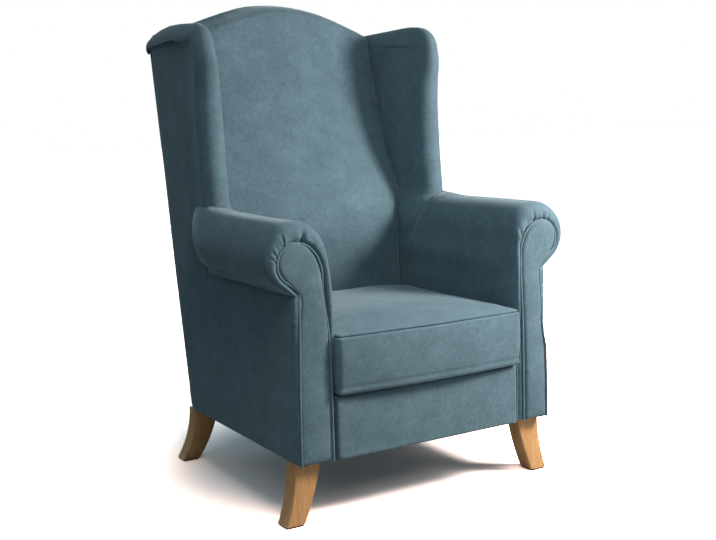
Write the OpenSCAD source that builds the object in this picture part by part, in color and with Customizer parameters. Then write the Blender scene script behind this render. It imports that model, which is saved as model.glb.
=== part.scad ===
// Fireside chair: a high-backed wing armchair with an arched back, scroll arms,
// a loose seat cushion and four splayed legs.
// The front is -Y and up is +Z. The origin is on the floor under the middle of the chair.
// Left is -X and right is +X, as seen from the front.

/* [Overall] */
// Height of the top of the arched back above the floor
overall_h = 1160; // [1110:10:1200]
// Width across the two outside side panels
body_w = 660; // [630:5:700]
// Depth of the base, from the arm facings to the outside back
body_d = 609; // [590:1:640]
// Lean of the back from upright, in degrees
back_lean = 10.7; // [9:0.1:12]
// Height of the body's underside above the floor
body_z = 139; // [125:1:155]
// Thickness of a padded outside panel
panel_t = 22; // [16:1:28]

/* [Arms] */
// Height of the top of the arm rolls above the floor
arm_h = 650; // [630:1:670]
// Radius of an arm roll
roll_r = 73; // [68:1:76]
// How far an arm roll stands out past the side panel
roll_reach = 60; // [50:1:66]
// Drop from the top of a roll to the crease under it
scroll_drop = 152; // [146:1:160]
// Distance from the outside back's foot to the lowest point of the roll's rear end
roll_low_gap = 173; // [160:1:195]
// Distance from the outside back's foot to the highest point of the roll's rear end
roll_top_gap = 97; // [90:1:108]
// Length over which the rear end of a roll is rounded off
roll_round = 150; // [110:5:180]
// Power of the curve by which the roll closes on the side panel: 0.5 is an ellipse
roll_close = 0.8; // [0.5:0.05:1]
// Radius of the pad's front edge round the facing
pad_edge_r = 17; // [12:1:22]

/* [Facings] */
// Thickness of a padded facing board
facing_t = 12; // [8:1:14]
// Radius of the piping round a facing
piping_r = 2.5; // [1.5:0.1:3]
// Gap from the inner arm face to the facing's inner edge at its narrowest
facing_inset = 13; // [8:1:18]
// Extra inset of the facing's inner edge at the bottom
facing_foot_inset = 7; // [0:1:10]
// Drop from the roll's top to the facing's top
facing_drop = 41; // [34:1:48]
// Radius of the outer half of the facing's scroll
scroll_r = 46; // [40:1:50]
// Distance of the facing's top point from the roll's centre line, towards the outside
scroll_shift = 3; // [0:1:6]
// Drop from the facing's top to where its inner edge turns straight
shoulder_drop = 79; // [65:1:90]
// Distance of the facing's waist from the outer face of the side panel
waist_inset = 12; // [8:1:16]
// Distance of the facing's bottom corner from the outer face of the side panel
foot_inset = 3; // [2:1:8]

/* [Wings] */
// Drop from the top of the arch to the top of a wing
wing_drop = 77; // [60:1:100]
// Height of a wing's rear end, as a share of the wing's height
wing_rear_share = 0.985; // [0.9:0.005:1]
// Distance from the outside back's foot to the front of a wing
wing_d = 213; // [200:1:230]
// How far the wing's roll stands out past the side panel
wing_proud = 8; // [4:1:12]
// How far the wing's cover returns down the outside at its rear end
wing_top_return = 38; // [36:1:41]
// Thickness of a wing board
wing_board_t = 18; // [12:1:20]

/* [Back] */
// Drop of the arch from its top to its springing
arch_drop = 98; // [80:1:110]
// Half of the arch's width
arch_half_w = 285; // [276:1:300]
// Thickness of the whole back near its top
back_top_t = 120; // [112:1:130]
// Extra thickness of the back at the lumbar swell
lumbar_t = 86; // [60:1:90]
// How far the middle of the back pad stands in front of its edges
back_crown = 26; // [10:1:36]
// Height over which the top of the back pad rolls over to the rear
back_top_r = 34; // [24:1:40]
// Distance of the outside back panel's edges from the outer faces of the side panels
back_panel_inset = 8; // [2:1:14]
// Thickness of padding over the back's top rail
top_pad_t = 25; // [18:1:32]
// Height of the back's top rail at its middle
top_rail_h = 90; // [60:1:110]
// Height of the lower back rail
cross_rail_h = 70; // [50:1:80]
// Height of the lower back rail's underside above the seat deck
cross_rail_gap = 60; // [50:1:100]
// Width of a webbing strap
strap_w = 50; // [40:1:55]
// Thickness of a webbing strap
strap_t = 2.5; // [1.5:0.1:3]
// Number of webbing straps across the back
strap_count = 4; // [3:1:5]

/* [Seat] */
// Height of the cushion's border, from the deck to its top seam
border_h = 129; // [110:1:140]
// How far the cushion's middle stands above its seam
cushion_crown = 25; // [10:1:40]
// How far the cushion's front stands in front of the facings
cushion_overhang = 22; // [16:1:30]
// Forward bulge of the cushion's front between its corners
cushion_bulge = 10; // [4:1:14]
// How far the cushion's sides pull in between their corners
cushion_draw = 5; // [2:1:8]
// Radius of the cushion's upright corners
cushion_corner_r = 24; // [16:1:36]
// How far the border swells past its seams
border_belly = 3; // [1:0.5:5]
// Distance from the outside back's foot to the rear of the cushion
cushion_back = 140; // [136:1:160]
// Thickness of the cushion's quilted covers
cover_t = 6; // [3:1:8]
// Gap between the cushion and each arm
cushion_gap = 3; // [2:0.5:6]
// Gap between the cushion and the deck under it
deck_gap = 2; // [1:0.5:3]
// Thickness of the seat deck's pad
deck_t = 22; // [16:1:26]
// Thickness of the padded cover on the front rail
rail_cover_t = 35; // [30:1:40]
// How far the front rail's cover stands in front of the facings
rail_cover_proud = 2; // [0:1:6]
// Gap between the front rail's cover and each arm
rail_cover_gap = 5; // [3:1:8]
// Radius of the front rail cover's top edge
rail_cover_r = 12; // [8:1:16]
// Length of the zip at the back of the cushion
zip_l = 320; // [200:10:380]
// Width of the zip tape
zip_w = 26; // [20:1:30]
// Thickness of the zip tape
zip_t = 2; // [1:0.5:2.5]

/* [Frame] */
// Thickness of the side timbers, across the chair
timber_t = 36; // [30:1:40]
// Depth of the front posts
front_post_d = 60; // [50:1:66]
// Depth of the raked back posts
back_post_d = 45; // [38:1:50]
// Thickness of the front and rear rails
rail_t = 28; // [22:1:30]
// Height of the base rails
rail_h = 116; // [100:1:124]
// Height of an arm rail
arm_rail_h = 60; // [50:1:66]
// Drop from the top of a roll to the top of its arm rail
arm_rail_drop = 82; // [74:1:90]
// Length of a corner block's sides
block_l = 58; // [45:1:70]
// Height of a corner block
block_h = 50; // [35:1:60]
// Height of a corner block above the body's underside
block_lift = 38; // [20:1:45]
// Drop from the wing's rear top to the top of the back posts
post_drop = 43; // [40:1:50]
// Thickness of the dust cover under the seat
dust_t = 1.5; // [1:0.5:2]

/* [Springs] */
// Radius of the spring wire
wire_r = 2; // [1.5:0.1:2.4]
// Number of sinuous springs
spring_count = 4; // [3:1:5]
// Radius of a spring's bends
bend_r = 17; // [14:1:19]
// Length of the straight wire between two bends
bar_l = 18; // [12:1:24]
// Width of a spring clip
clip_w = 18; // [14:1:24]
// Height of a spring clip
clip_h = 14; // [10:1:18]
// Depth of a spring clip
clip_d = 8; // [6:1:12]

/* [Legs] */
// Width of a leg at its top
leg_top_w = 60; // [50:1:62]
// Width of a leg at its foot
leg_foot_w = 45; // [38:1:50]
// Depth of a leg, front to back
leg_d = 44; // [38:1:48]
// How far a foot stands out past the side panel
leg_splay = 22; // [10:1:30]
// Distance of a leg's top from the outer face of the side panel
leg_inset = 3; // [0:1:8]
// Distance from the facing to the front legs
front_leg_y = 31; // [26:1:34]
// Distance from the rear legs' tops to the outside back
rear_leg_y = 0; // [0:1:6]
// How far the rear feet stand behind their tops
rear_leg_splay = 33; // [20:1:40]
// Power of the curve down a leg's outer side, and down its inner side
leg_curve = 2; // [1.5:0.1:3]
leg_inner_curve = 1.4; // [1:0.1:2]
// Thickness of a glide
glide_t = 4; // [3:0.5:6]
// Inset of a glide from the edges of its foot
glide_inset = 3; // [2:0.5:6]

/* [Fixings] */
// Radius of a leg bolt
bolt_r = 4; // [3:0.5:5]
// Depth of a leg bolt in its leg
bolt_in_leg = 40; // [30:1:50]
// Depth of a leg bolt in the frame
bolt_in_frame = 30; // [20:1:40]
// Distance of a rear leg's bolt from the rear of its post
rear_bolt_inset = 10; // [9:1:14]
// Length of a threaded insert
insert_l = 16; // [12:1:18]
// Wall of a threaded insert round its bolt
insert_wall = 2.5; // [2:0.5:3]

/* [Hidden] */

// Colours of the cover fabric, the wood and the hidden pieces
fabric_colour = [0.29, 0.42, 0.49];
facing_colour = [0.33, 0.46, 0.53];
beech_colour = [0.80, 0.62, 0.42];
timber_colour = [0.72, 0.60, 0.42];
steel_colour = [0.55, 0.56, 0.58];
foam_colour = [0.90, 0.86, 0.70];
cloth_colour = [0.13, 0.13, 0.14];

// Overrun of cuts past the faces that they open
cut = 1;
// Clearance of a bolt in its bore, and of an insert in the frame
bore_gap = 0.05;
// Clearance between neighbouring pads that follow the same curve
pad_gap = 0.6;
// Clearance of the top rail under the pad's arch, whose curve is made of short straight lines
arch_gap = 1.4;
// Clearance of a wing's foot over the arm roll
foot_gap = 1.6;
// Clearance of the back's rails in front of the outside back
rail_gap = 0.2;

// The rake of the back as a run per height, and the chair's depth at the top of the back
rake = tan(back_lean);
overall_d = cushion_overhang + body_d + rake * (overall_h - body_z);
face_y = cushion_overhang - overall_d / 2;

// Places across the chair, measured from its middle
half_w = body_w / 2;
timber_out_x = half_w - panel_t;
timber_in_x = timber_out_x - timber_t;
roll_x = half_w + roll_reach - roll_r;
arm_in_x = roll_x - roll_r;
wing_r = (panel_t + timber_t + wing_proud) / 2;

// Heights above the floor
rail_top_z = body_z + rail_h;
deck_z = rail_top_z + deck_t;
roll_z = arm_h - roll_r;
crease_z = arm_h - scroll_drop;
arm_rail_z = arm_h - arm_rail_drop;

// Places along the chair
board_y = face_y + 2 * piping_r;
pocket_y = board_y + facing_t;
front_post_y = pocket_y + front_post_d;
front_rail_y = face_y + rail_cover_t - rail_cover_proud;

// Rear ends of the rolls and fronts of the wings, measured from the facing
roll_end_low = body_d - roll_low_gap;
roll_end_top = body_d - roll_top_gap;
wing_setback = body_d - wing_d;

// Height of a wing above the arm rolls, and heights of its rear end and of the back posts' tops
wing_h = overall_h - wing_drop - arm_h;
wing_rear_z = arm_h + wing_h * wing_rear_share;
post_top_z = wing_rear_z - post_drop;

// Outer face of the back at a height, the inner face of its panel and the front of the posts
function back_y(z) = face_y + body_d + rake * (z - body_z);
function panel_y(z) = back_y(z) - panel_t;
function post_y(z) = panel_y(z) - back_post_d;
function arch_z(x) = overall_h - arch_drop * (1 - cos(90 * min(abs(x) / arch_half_w, 1)));

function lerp(a, b, t) = a + (b - a) * t;

// A closed solid from rings of points. Each ring runs up an outer chain of n points and back
// along an inner chain. steps says at which outer point each inner point is passed.
function side_faces(rings, n) = [
    for (i = [0 : rings - 2])
        for (j = [0 : n - 1])
            let (a = i * n + j, b = i * n + (j + 1) % n)
            each [[a, a + n, b], [b, a + n, b + n]]
];
function zipper(a, b, steps) = [
    for (i = 0, j = 0, go_b = false;
         i + j < len(a) + len(b) - 2;
         go_b = j < len(b) - 1 && (i == len(a) - 1 || i >= steps[j]),
         i = go_b ? i : i + 1,
         j = go_b ? j + 1 : j)
        let (turn = j < len(b) - 1 && (i == len(a) - 1 || i >= steps[j]))
        turn ? [a[i], b[j + 1], b[j]] : [a[i], a[i + 1], b[j]]
];
// An open strip between two chains of points that start at a and at b
function strip(a, b, count) = [
    for (j = [0 : count - 2]) each [[a + j, b + j, a + j + 1], [a + j + 1, b + j, b + j + 1]]
];
// A fan from one point over a chain of others
function fan(hub, chain) = [for (j = [0 : len(chain) - 2]) [hub, chain[j], chain[j + 1]]];
function flipped(faces) = [for (f = faces) [f[0], f[2], f[1]]];
function shifted(faces, by) = [for (f = faces) [f[0] + by, f[1] + by, f[2] + by]];

module loft(rings, outer_n, steps, flip = false) {
    n = len(rings[0]);
    cap = zipper([for (i = [0 : outer_n - 1]) i], [for (i = [n - 1 : -1 : outer_n]) i], steps);
    faces = concat(
        side_faces(len(rings), n),
        cap,
        shifted(flipped(cap), n * (len(rings) - 1))
    );
    polyhedron(points = [for (ring = rings) each ring], faces = flip ? flipped(faces) : faces);
}

// A closed solid from stacked rings, ending at each end in a fan round a middle point
module domed(rings, low, high) {
    n = len(rings[0]);
    count = len(rings) * n;
    low_fan = [for (j = [0 : n - 1]) [count, j, (j + 1) % n]];
    high_fan = [for (j = [0 : n - 1]) [count + 1, count - n + (j + 1) % n, count - n + j]];
    polyhedron(
        points = concat([for (ring = rings) each ring], [low, high]),
        faces = concat(side_faces(len(rings), n), low_fan, high_fan)
    );
}

// Mirrors what stands on the right to the left
module sided(side) {
    if (side < 0) mirror([1, 0, 0]) children();
    else children();
}

// Extrudes an outline drawn in Y and Z across the chair, or one drawn in X and Z along it
module across(x0, x1) {
    translate([x0, 0, 0]) rotate([90, 0, 90]) linear_extrude(height = x1 - x0) children();
}
module along(y0, y1) {
    translate([0, y1, 0]) rotate([90, 0, 0]) linear_extrude(height = y1 - y0) children();
}
module box(low, high) {
    translate(low) cube(high - low);
}

// Base frame

module front_rail() {
    color(timber_colour)
        box([-timber_in_x, front_rail_y, body_z],
            [timber_in_x, front_rail_y + rail_t, rail_top_z]);
}

rear_rail_y = post_y(body_z);
module rear_rail() {
    color(timber_colour)
        box([-timber_in_x, rear_rail_y, body_z],
            [timber_in_x, rear_rail_y + rail_t, rail_top_z]);
}

module side_rail(side) {
    color(timber_colour) sided(side) across(timber_in_x, timber_out_x) polygon([
        [front_post_y, body_z], [post_y(body_z), body_z],
        [post_y(rail_top_z), rail_top_z], [front_post_y, rail_top_z]
    ]);
}

module corner_blocks() {
    front_y = front_rail_y + rail_t;
    color(timber_colour)
        for (side = [-1, 1], end = [[front_y, 1], [rear_rail_y, -1]])
            translate([0, 0, body_z + block_lift]) linear_extrude(height = block_h) polygon([
                [side * timber_in_x, end[0]],
                [side * (timber_in_x - block_l), end[0]],
                [side * timber_in_x, end[0] + end[1] * block_l]
            ]);
}

// Middle of each leg's bolt
bolt_x = (timber_in_x + timber_out_x) / 2;
front_bolt_y = face_y + front_leg_y + leg_d / 2;
rear_bolt_y = panel_y(body_z) - rear_bolt_inset;
insert_r = bolt_r + insert_wall;

module bolt_bores(y) {
    translate([bolt_x, y, body_z - cut])
        cylinder(r = insert_r + bore_gap, h = insert_l + cut);
    translate([bolt_x, y, body_z - cut])
        cylinder(r = bolt_r + bore_gap, h = bolt_in_frame + cut);
}

module front_post(side) {
    color(timber_colour) sided(side) difference() {
        box([timber_in_x, pocket_y, body_z],
            [timber_out_x, front_post_y, arm_rail_z - arm_rail_h]);
        bolt_bores(front_bolt_y);
    }
}

module back_post(side) {
    color(timber_colour) sided(side) difference() {
        across(timber_in_x, timber_out_x) polygon([
            [post_y(body_z), body_z], [panel_y(body_z), body_z],
            [panel_y(post_top_z), post_top_z], [post_y(post_top_z), post_top_z]
        ]);
        bolt_bores(rear_bolt_y);
    }
}

// A band of the raked back between two heights, as deep as the posts
module raked_band(z0, z1) {
    across(-timber_in_x, timber_in_x) polygon([
        [post_y(z0), z0], [panel_y(z0) - rail_gap, z0],
        [panel_y(z1) - rail_gap, z1], [post_y(z1), z1]
    ]);
}

arch_steps = 16;
function arch_line(half, drop) = [
    for (i = [0 : arch_steps])
        let (x = half * (1 - 2 * i / arch_steps)) [x, arch_z(x) - drop]
];

module back_top_rail() {
    low_z = post_top_z - top_rail_h / 2;
    color(timber_colour) intersection() {
        raked_band(low_z, overall_h);
        along(post_y(body_z), back_y(overall_h)) polygon(concat(
            [[-timber_in_x, low_z], [timber_in_x, low_z]],
            arch_line(timber_in_x, top_pad_t + arch_gap)
        ));
    }
}

cross_rail_z = deck_z + cross_rail_gap;
module back_cross_rail() {
    color(timber_colour) raked_band(cross_rail_z, cross_rail_z + cross_rail_h);
}

module arm_rail(side) {
    low_z = arm_rail_z - arm_rail_h;
    color(timber_colour) sided(side) across(timber_in_x, timber_out_x) polygon([
        [pocket_y, low_z], [post_y(low_z), low_z],
        [post_y(arm_rail_z), arm_rail_z], [pocket_y, arm_rail_z]
    ]);
}

// Arm pads, facings and piping

// Angles round an arm roll, from its inner side over the top to its underside
board_angle = acos((timber_out_x - wing_board_t - roll_x) / roll_r);
roll_angles = [
    180, 165, 150, 137, 124, board_angle, 100, 90, 75, 60, 45, 30, 15, 0, -15, -30, -45, -58
];
pad_points = len(roll_angles) + 3;

// Distance from the facing to where the roll ends, at a height on its outside
function roll_end(z) =
    lerp(roll_end_low, roll_end_top, sin(90 * min(1, max(0, (z - crease_z) / scroll_drop))));

// Outline of an arm pad in X and Z, from the bottom of its inner face to the crease
function pad_outline(low_z) = concat(
    [[arm_in_x, low_z], [arm_in_x, (low_z + roll_z) / 2]],
    [for (a = roll_angles) [roll_x + roll_r * cos(a), roll_z + roll_r * sin(a)]],
    [[half_w, crease_z]]
);

// Outline of a facing in the same number of points, from its inner foot to its waist
facing_top_x = roll_x + scroll_shift;
facing_top_z = arm_h - facing_drop;
facing_in_x = arm_in_x + facing_inset;
shoulder_z = facing_top_z - shoulder_drop;
function facing_point(a) = a > 90
    ? [facing_top_x + (facing_top_x - facing_in_x) * cos(a), shoulder_z + shoulder_drop * sin(a)]
    : [facing_top_x + scroll_r * cos(a), facing_top_z - scroll_r + scroll_r * sin(a)];
facing_inner = concat(
    [
        [facing_in_x + facing_foot_inset, body_z],
        [facing_in_x + facing_foot_inset / 4, (body_z + shoulder_z) / 2]
    ],
    [for (a = roll_angles) facing_point(a)],
    [[half_w - waist_inset, crease_z]]
);
facing_outer = [
    for (t = [0.25, 0.5, 0.75, 1])
        [half_w - lerp(waist_inset, foot_inset, sin(90 * t)), lerp(crease_z, body_z, t)]
];
facing_outline = concat(facing_inner, facing_outer);

// The slot in an arm pad that its arm rail fills, from its outer side to the inner face's back
function slot_line(low_z) = [
    [timber_out_x, crease_z], [timber_out_x, arm_rail_z],
    [timber_out_x - wing_board_t, arm_rail_z], [timber_in_x, arm_rail_z],
    [timber_in_x, (low_z + arm_rail_z) / 2], [timber_in_x, low_z]
];
slot_steps = [0, 1, 6, 8, 10, 20];

function blended(a, b, t) = [for (i = [0 : len(a) - 1]) lerp(a[i], b[i], t)];
function ring_at(outline, slot, y) = [for (p = concat(outline, slot)) [p[0], y, p[1]]];

// Where each point of the pad ends: on the back post inside the wing, or on the side panel
function pad_end(p) = p[0] < timber_out_x - wing_board_t - bore_gap
    ? post_y(p[1]) - face_y
    : min(roll_end(p[1]), roll_end_top);
function tapered(p, t) =
    p[0] > half_w ? half_w + (p[0] - half_w) * pow(1 - t * t, roll_close) : p[0];

// Rings round the pad's rim: shares of the way out from the facing's edge to the pad's outline,
// and of the way back from the board's plane
rim_shares = [[0, 0.08], [0.4, 0], [0.8, 0.35], [1, 1]];
// Shares of the pad's length at which its rings stand, and of the rounding at its rear end
body_shares = [0, 0.4, 0.8];
round_shares = [0, 0.3, 0.55, 0.75, 0.9, 1];

module arm_pad(side) {
    m = pad_points;
    start = front_rail_y - face_y;
    pocket = ring_at(facing_inner, slot_line(body_z), pocket_y);
    rim = [
        for (r = rim_shares) ring_at(
            blended(facing_inner, pad_outline(body_z), r[0]),
            r[0] < 1 ? [] : slot_line(body_z),
            board_y + pad_edge_r * r[1]
        )
    ];
    full = concat(pad_outline(rail_top_z + deck_t / 3), slot_line(rail_top_z + deck_t / 3));
    ends = [for (p = full) pad_end(p)];
    middle = [
        for (s = body_shares)
            [for (i = [0 : len(full) - 1])
                [full[i][0], face_y + lerp(start, ends[i] - roll_round, s), full[i][1]]]
    ];
    rear = [
        for (s = round_shares)
            [for (i = [0 : len(full) - 1])
                [tapered(full[i], s), face_y + ends[i] - roll_round * (1 - s), full[i][1]]]
    ];
    n = len(full);
    base = n + 3 * m;
    rings = 1 + len(middle) + len(rear);
    cap = zipper([for (i = [0 : m - 1]) i], [for (i = [n - 1 : -1 : m]) i], slot_steps);
    faces = concat(
        cap,
        strip(0, n, m),
        strip(n, n + m, m),
        strip(n + m, n + 2 * m, m),
        strip(n + 2 * m, base, m),
        strip(m, base + m, n - m),
        fan(base + m - 1, [base + m, m, m - 1, n + m - 1, n + 2 * m - 1, n + 3 * m - 1]),
        fan(base, [n + 2 * m, n + m, n, 0, n - 1, base + n - 1]),
        shifted(side_faces(rings, n), base),
        shifted(flipped(cap), base + n * (rings - 1))
    );
    color(fabric_colour) sided(side)
        polyhedron(points = [for (ring = concat([pocket], rim, middle, rear)) each ring], faces = faces);
}

module arm_facing(side) {
    color(facing_colour) sided(side) along(board_y, pocket_y) polygon(facing_outline);
}

// Piping: a six-sided cord lying on the facing, just inside its edge
function unit(v) = v / norm(v);
function edge_normal(path, i) =
    let (a = path[max(i - 1, 0)], b = path[min(i + 1, len(path) - 1)], d = unit(b - a))
    [d[1], -d[0]];
piping_sides = 6;

module facing_piping(side) {
    path = facing_outline;
    flat_r = piping_r * cos(180 / piping_sides);
    rings = [
        for (i = [0 : len(path) - 1])
            let (n = edge_normal(path, i))
            [for (k = [0 : piping_sides - 1])
                let (a = 360 * k / piping_sides, out = piping_r * (cos(a) - 1))
                [path[i][0] + n[0] * out, board_y - flat_r + piping_r * sin(a), path[i][1] + n[1] * out]]
    ];
    color(fabric_colour) sided(side) tube(rings);
}

// A tube through rings of points, closed flat at both ends
module tube(rings) {
    n = len(rings[0]);
    last = n * (len(rings) - 1);
    polyhedron(
        points = [for (ring = rings) each ring],
        faces = concat(
            side_faces(len(rings), n),
            [for (j = [1 : n - 2]) [0, j, j + 1]],
            [for (j = [1 : n - 2]) [last, last + j + 1, last + j]]
        )
    );
}

// Wings

// The wing's outline from its foot on the arm, up its front edge and back along its top:
// shares of the way from its front to the outside back, and of its height
wing_shares = [
    [0, 0], [0.015, 0.15], [0.033, 0.30], [0.045, 0.50], [0.040, 0.67], [0.027, 0.78],
    [0.042, 0.855], [0.068, 0.914], [0.109, 0.951], [0.17, 0.979], [0.27, 0.995],
    [0.40, 1], [0.66, 0.994], [1, wing_rear_share]
];
// Angle of the way inward from each of these points, from straight back to straight down
wing_turns = [0, 0, 0, 0, 0, 5, 15, 30, 51, 70, 83, 89, 93, 90 + back_lean];
// Where the inner face ends behind each point: shares of the way up the back post, and then
// of the way over its top
anchor_shares = [
    [0, 0], [0.16, 0], [0.34, 0], [0.55, 0], [0.72, 0], [0.83, 0], [0.89, 0], [0.93, 0],
    [0.96, 0], [0.985, 0], [1, 0], [1, 0.2], [1, 0.6], [1, 1]
];
// Where the cover ends on the outside behind each point, in the same shares as the outline
seam_shares = [
    [0.312, 0], [0.322, 0.15], [0.335, 0.30], [0.345, 0.50], [0.340, 0.67], [0.335, 0.76],
    [0.340, 0.80], [0.350, 0.835], [0.368, 0.865], [0.398, 0.888], [0.45, 0.904],
    [0.53, 0.914], [0.74, 0.91]
];
// How far each point's section stands out past the side panel
proud_shares = [1, 1, 1, 1, 1, 1, 1, 1, 1, 1, 1, 0.9, 0.6, 0];
wing_last = len(wing_shares) - 1;

wing_span = panel_y(wing_rear_z) - face_y - wing_setback;
function wing_place(share) =
    [face_y + wing_setback + wing_span * share[0], arm_h + wing_h * share[1]];
function wing_anchor(i) =
    let (z = lerp(arm_h, post_top_z, anchor_shares[i][0]))
    [lerp(post_y(z), panel_y(z), anchor_shares[i][1]), z];
function inward(i, t) =
    wing_place(wing_shares[i]) + t * [cos(wing_turns[i]), -sin(wing_turns[i])];
function wing_seam(i) =
    i == wing_last ? inward(i, wing_top_return) : wing_place(seam_shares[i]);

// Height of the wing's foot over the arm roll
function foot_z(x) = roll_z + sqrt(pow(roll_r, 2) - pow(x - roll_x, 2)) + foot_gap;

wing_angles = [180, 155, 130, 105, 80, 55, 30, 0];
wing_points = len(wing_angles) + 5;

wing_mid_share = 0.4;

// Each point of a ring is an X and a place in Y and Z. The foot's points drop to the roll and
// keep to the rake.
function wing_point(i, x, place) = i == 0
    ? [x, place[0] + rake * (foot_z(x) - arm_h), foot_z(x)]
    : [x, place[0], place[1]];
function wing_ring(i) =
    let (
        proud = wing_proud * proud_shares[i],
        half = (half_w + proud - timber_in_x) / 2,
        anchor = wing_anchor(i),
        back = inward(i, wing_r),
        seam = wing_seam(i),
        board_x = timber_out_x - wing_board_t,
        outer = concat(
            [[timber_in_x, anchor], [timber_in_x, lerp(back, anchor, wing_mid_share)]],
            [for (a = wing_angles)
                [timber_in_x + half * (1 + cos(a)), inward(i, wing_r * (1 - sin(a)))]],
            [for (s = [1, 2, 3]) [half_w + proud * pow(1 - s / 3, 2), lerp(back, seam, s / 3)]]
        ),
        inner = [
            [timber_out_x, seam], [timber_out_x, back], [board_x, back], [board_x, anchor]
        ]
    )
    [for (p = concat(outer, inner)) wing_point(i, p[0], p[1])];
wing_steps = [1, 6, 12];

module wing_pad(side) {
    color(fabric_colour) sided(side)
        loft([for (i = [0 : wing_last]) wing_ring(i)], wing_points, wing_steps);
}

module wing_board(side) {
    foot_y = face_y + roll_end_top + panel_t / 2;
    color(timber_colour) sided(side) across(timber_out_x - wing_board_t, timber_out_x) polygon(concat(
        [[foot_y, arm_rail_z], [foot_y, arm_h], [inward(0, wing_r)[0], arm_h]],
        [for (i = [1 : wing_last]) inward(i, wing_r)],
        [
            [panel_y(post_top_z), post_top_z], [post_y(post_top_z), post_top_z],
            [post_y(arm_rail_z), arm_rail_z]
        ]
    ));
}

// Outside panels

module side_panel(side) {
    roll_line = [
        for (i = [len(roll_angles) - 1 : -1 : 7])
            let (z = roll_z + roll_r * sin(roll_angles[i])) [face_y + roll_end(z), z]
    ];
    wing_line = [for (i = [1 : wing_last]) wing_seam(i)];
    color(fabric_colour) sided(side) across(timber_out_x, half_w) polygon(concat(
        [[pocket_y, body_z], [pocket_y, crease_z], [face_y + roll_end(crease_z), crease_z]],
        roll_line,
        wing_line,
        [[panel_y(body_z), body_z]]
    ));
}

module outside_back_panel() {
    half = half_w - back_panel_inset;
    color(fabric_colour) intersection() {
        across(-half_w, half_w) polygon([
            [panel_y(body_z), body_z], [back_y(body_z), body_z],
            [back_y(overall_h), overall_h], [panel_y(overall_h), overall_h]
        ]);
        along(panel_y(body_z) - panel_t, back_y(overall_h) + panel_t) polygon(concat(
            [[-half, body_z], [half, body_z], [half, wing_rear_z]],
            arch_line(timber_in_x, 0),
            [[-half, wing_rear_z]]
        ));
    }
}

// Back pad and webbing

// Heights of the back pad's rows, as shares of the way from the deck to the arch,
// and how much of the lumbar swell each has
back_rows = [
    [0.00, 0.30], [0.07, 0.50], [0.14, 0.66], [0.21, 0.79], [0.27, 0.89], [0.33, 0.99],
    [0.38, 0.98], [0.42, 0.90], [0.47, 0.72], [0.53, 0.47], [0.60, 0.26], [0.68, 0.14],
    [0.76, 0.08], [0.84, 0.03], [0.90, 0.00]
];
// Row share at which the crown starts above the seat, and at which it is full
crown_low_share = 0.16;
crown_full_share = 0.33;
back_columns = 12;
rear_rows = len(back_rows);
top_angles = [22, 45, 68, 90];
// Power that flattens the middle of the crown
crown_power = 2.4;

// Half the room for the back pad at a height: between the arms below, between the wings above
function back_half_w(z) = (z < arm_h ? arm_in_x : timber_in_x) - pad_gap;

function back_ring(t) =
    let (
        top_z = arch_z(t * timber_in_x),
        crown = back_crown * (1 - pow(abs(t), crown_power)),
        roll_low = top_z - back_top_r,
        front = [for (row = back_rows)
            let (
                z = lerp(deck_z, roll_low, row[0] / back_rows[rear_rows - 1][0]),
                rise = (row[0] - crown_low_share) / (crown_full_share - crown_low_share)
            )
            [t * back_half_w(z),
             back_y(z) - back_top_t - lumbar_t * row[1] - crown * min(1, max(0, rise)), z]],
        lip = front[rear_rows - 1],
        over = [for (a = top_angles)
            [lip[0], lerp(lip[1], panel_y(top_z), 1 - cos(a)), roll_low + back_top_r * sin(a)]],
        rail_z = top_z - top_pad_t,
        rear = [[lip[0], panel_y(rail_z), rail_z], [lip[0], post_y(rail_z), rail_z]],
        down = [for (k = [rear_rows - 2 : -1 : 0])
            let (z = front[k][2]) [front[k][0], post_y(z), z]]
    )
    concat(front, over, rear, down);
back_outer_n = rear_rows + len(top_angles);
back_steps = concat([for (k = [0 : rear_rows - 2]) k + 1], [back_outer_n - 1]);

module back_pad() {
    color(fabric_colour)
        loft([for (c = [0 : back_columns]) back_ring(2 * c / back_columns - 1)],
             back_outer_n, back_steps, true);
}

module back_webbing() {
    low = cross_rail_z + cross_rail_h + strap_w;
    high = post_top_z - top_rail_h / 2 - strap_w;
    color(cloth_colour)
        for (i = [0 : strap_count - 1]) {
            z0 = lerp(low, high - strap_w, i / (strap_count - 1));
            z1 = z0 + strap_w;
            across(-timber_in_x, timber_in_x) polygon([
                [post_y(z0), z0], [post_y(z0) + strap_t, z0],
                [post_y(z1) + strap_t, z1], [post_y(z1), z1]
            ]);
        }
}

// Seat deck, front cover and springs

module seat_deck() {
    color(cloth_colour)
        box([-arm_in_x + cushion_gap, front_rail_y, rail_top_z],
            [arm_in_x - cushion_gap, post_y(rail_top_z) + back_post_d, deck_z]);
}

module front_rail_cover() {
    y0 = face_y - rail_cover_proud;
    arc = [
        for (a = [0 : 15 : 90])
            [y0 + rail_cover_r * (1 - cos(a)), deck_z - rail_cover_r * (1 - sin(a))]
    ];
    half = arm_in_x - rail_cover_gap;
    color(fabric_colour) across(-half, half) polygon(concat(
        [[front_rail_y, body_z], [y0, body_z]], arc, [[front_rail_y, deck_z]]
    ));
}

module dust_cover() {
    half = half_w - leg_inset - leg_top_w - glide_inset;
    color(cloth_colour)
        box([-half, front_rail_y, body_z - dust_t], [half, rear_rail_y + rail_t, body_z]);
}

spring_y0 = front_rail_y + rail_t + clip_d;
spring_y1 = rear_rail_y - clip_d;
bends = floor((spring_y1 - spring_y0) / (2 * bend_r)) - 1;
spring_lead = (spring_y1 - spring_y0 - bends * 2 * bend_r) / 2;
spring_pitch = 2 * timber_in_x / (spring_count + 1);
wire_z = rail_top_z - wire_r - bore_gap;
spring_xs = [for (i = [1 : spring_count]) -timber_in_x + i * spring_pitch];

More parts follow.
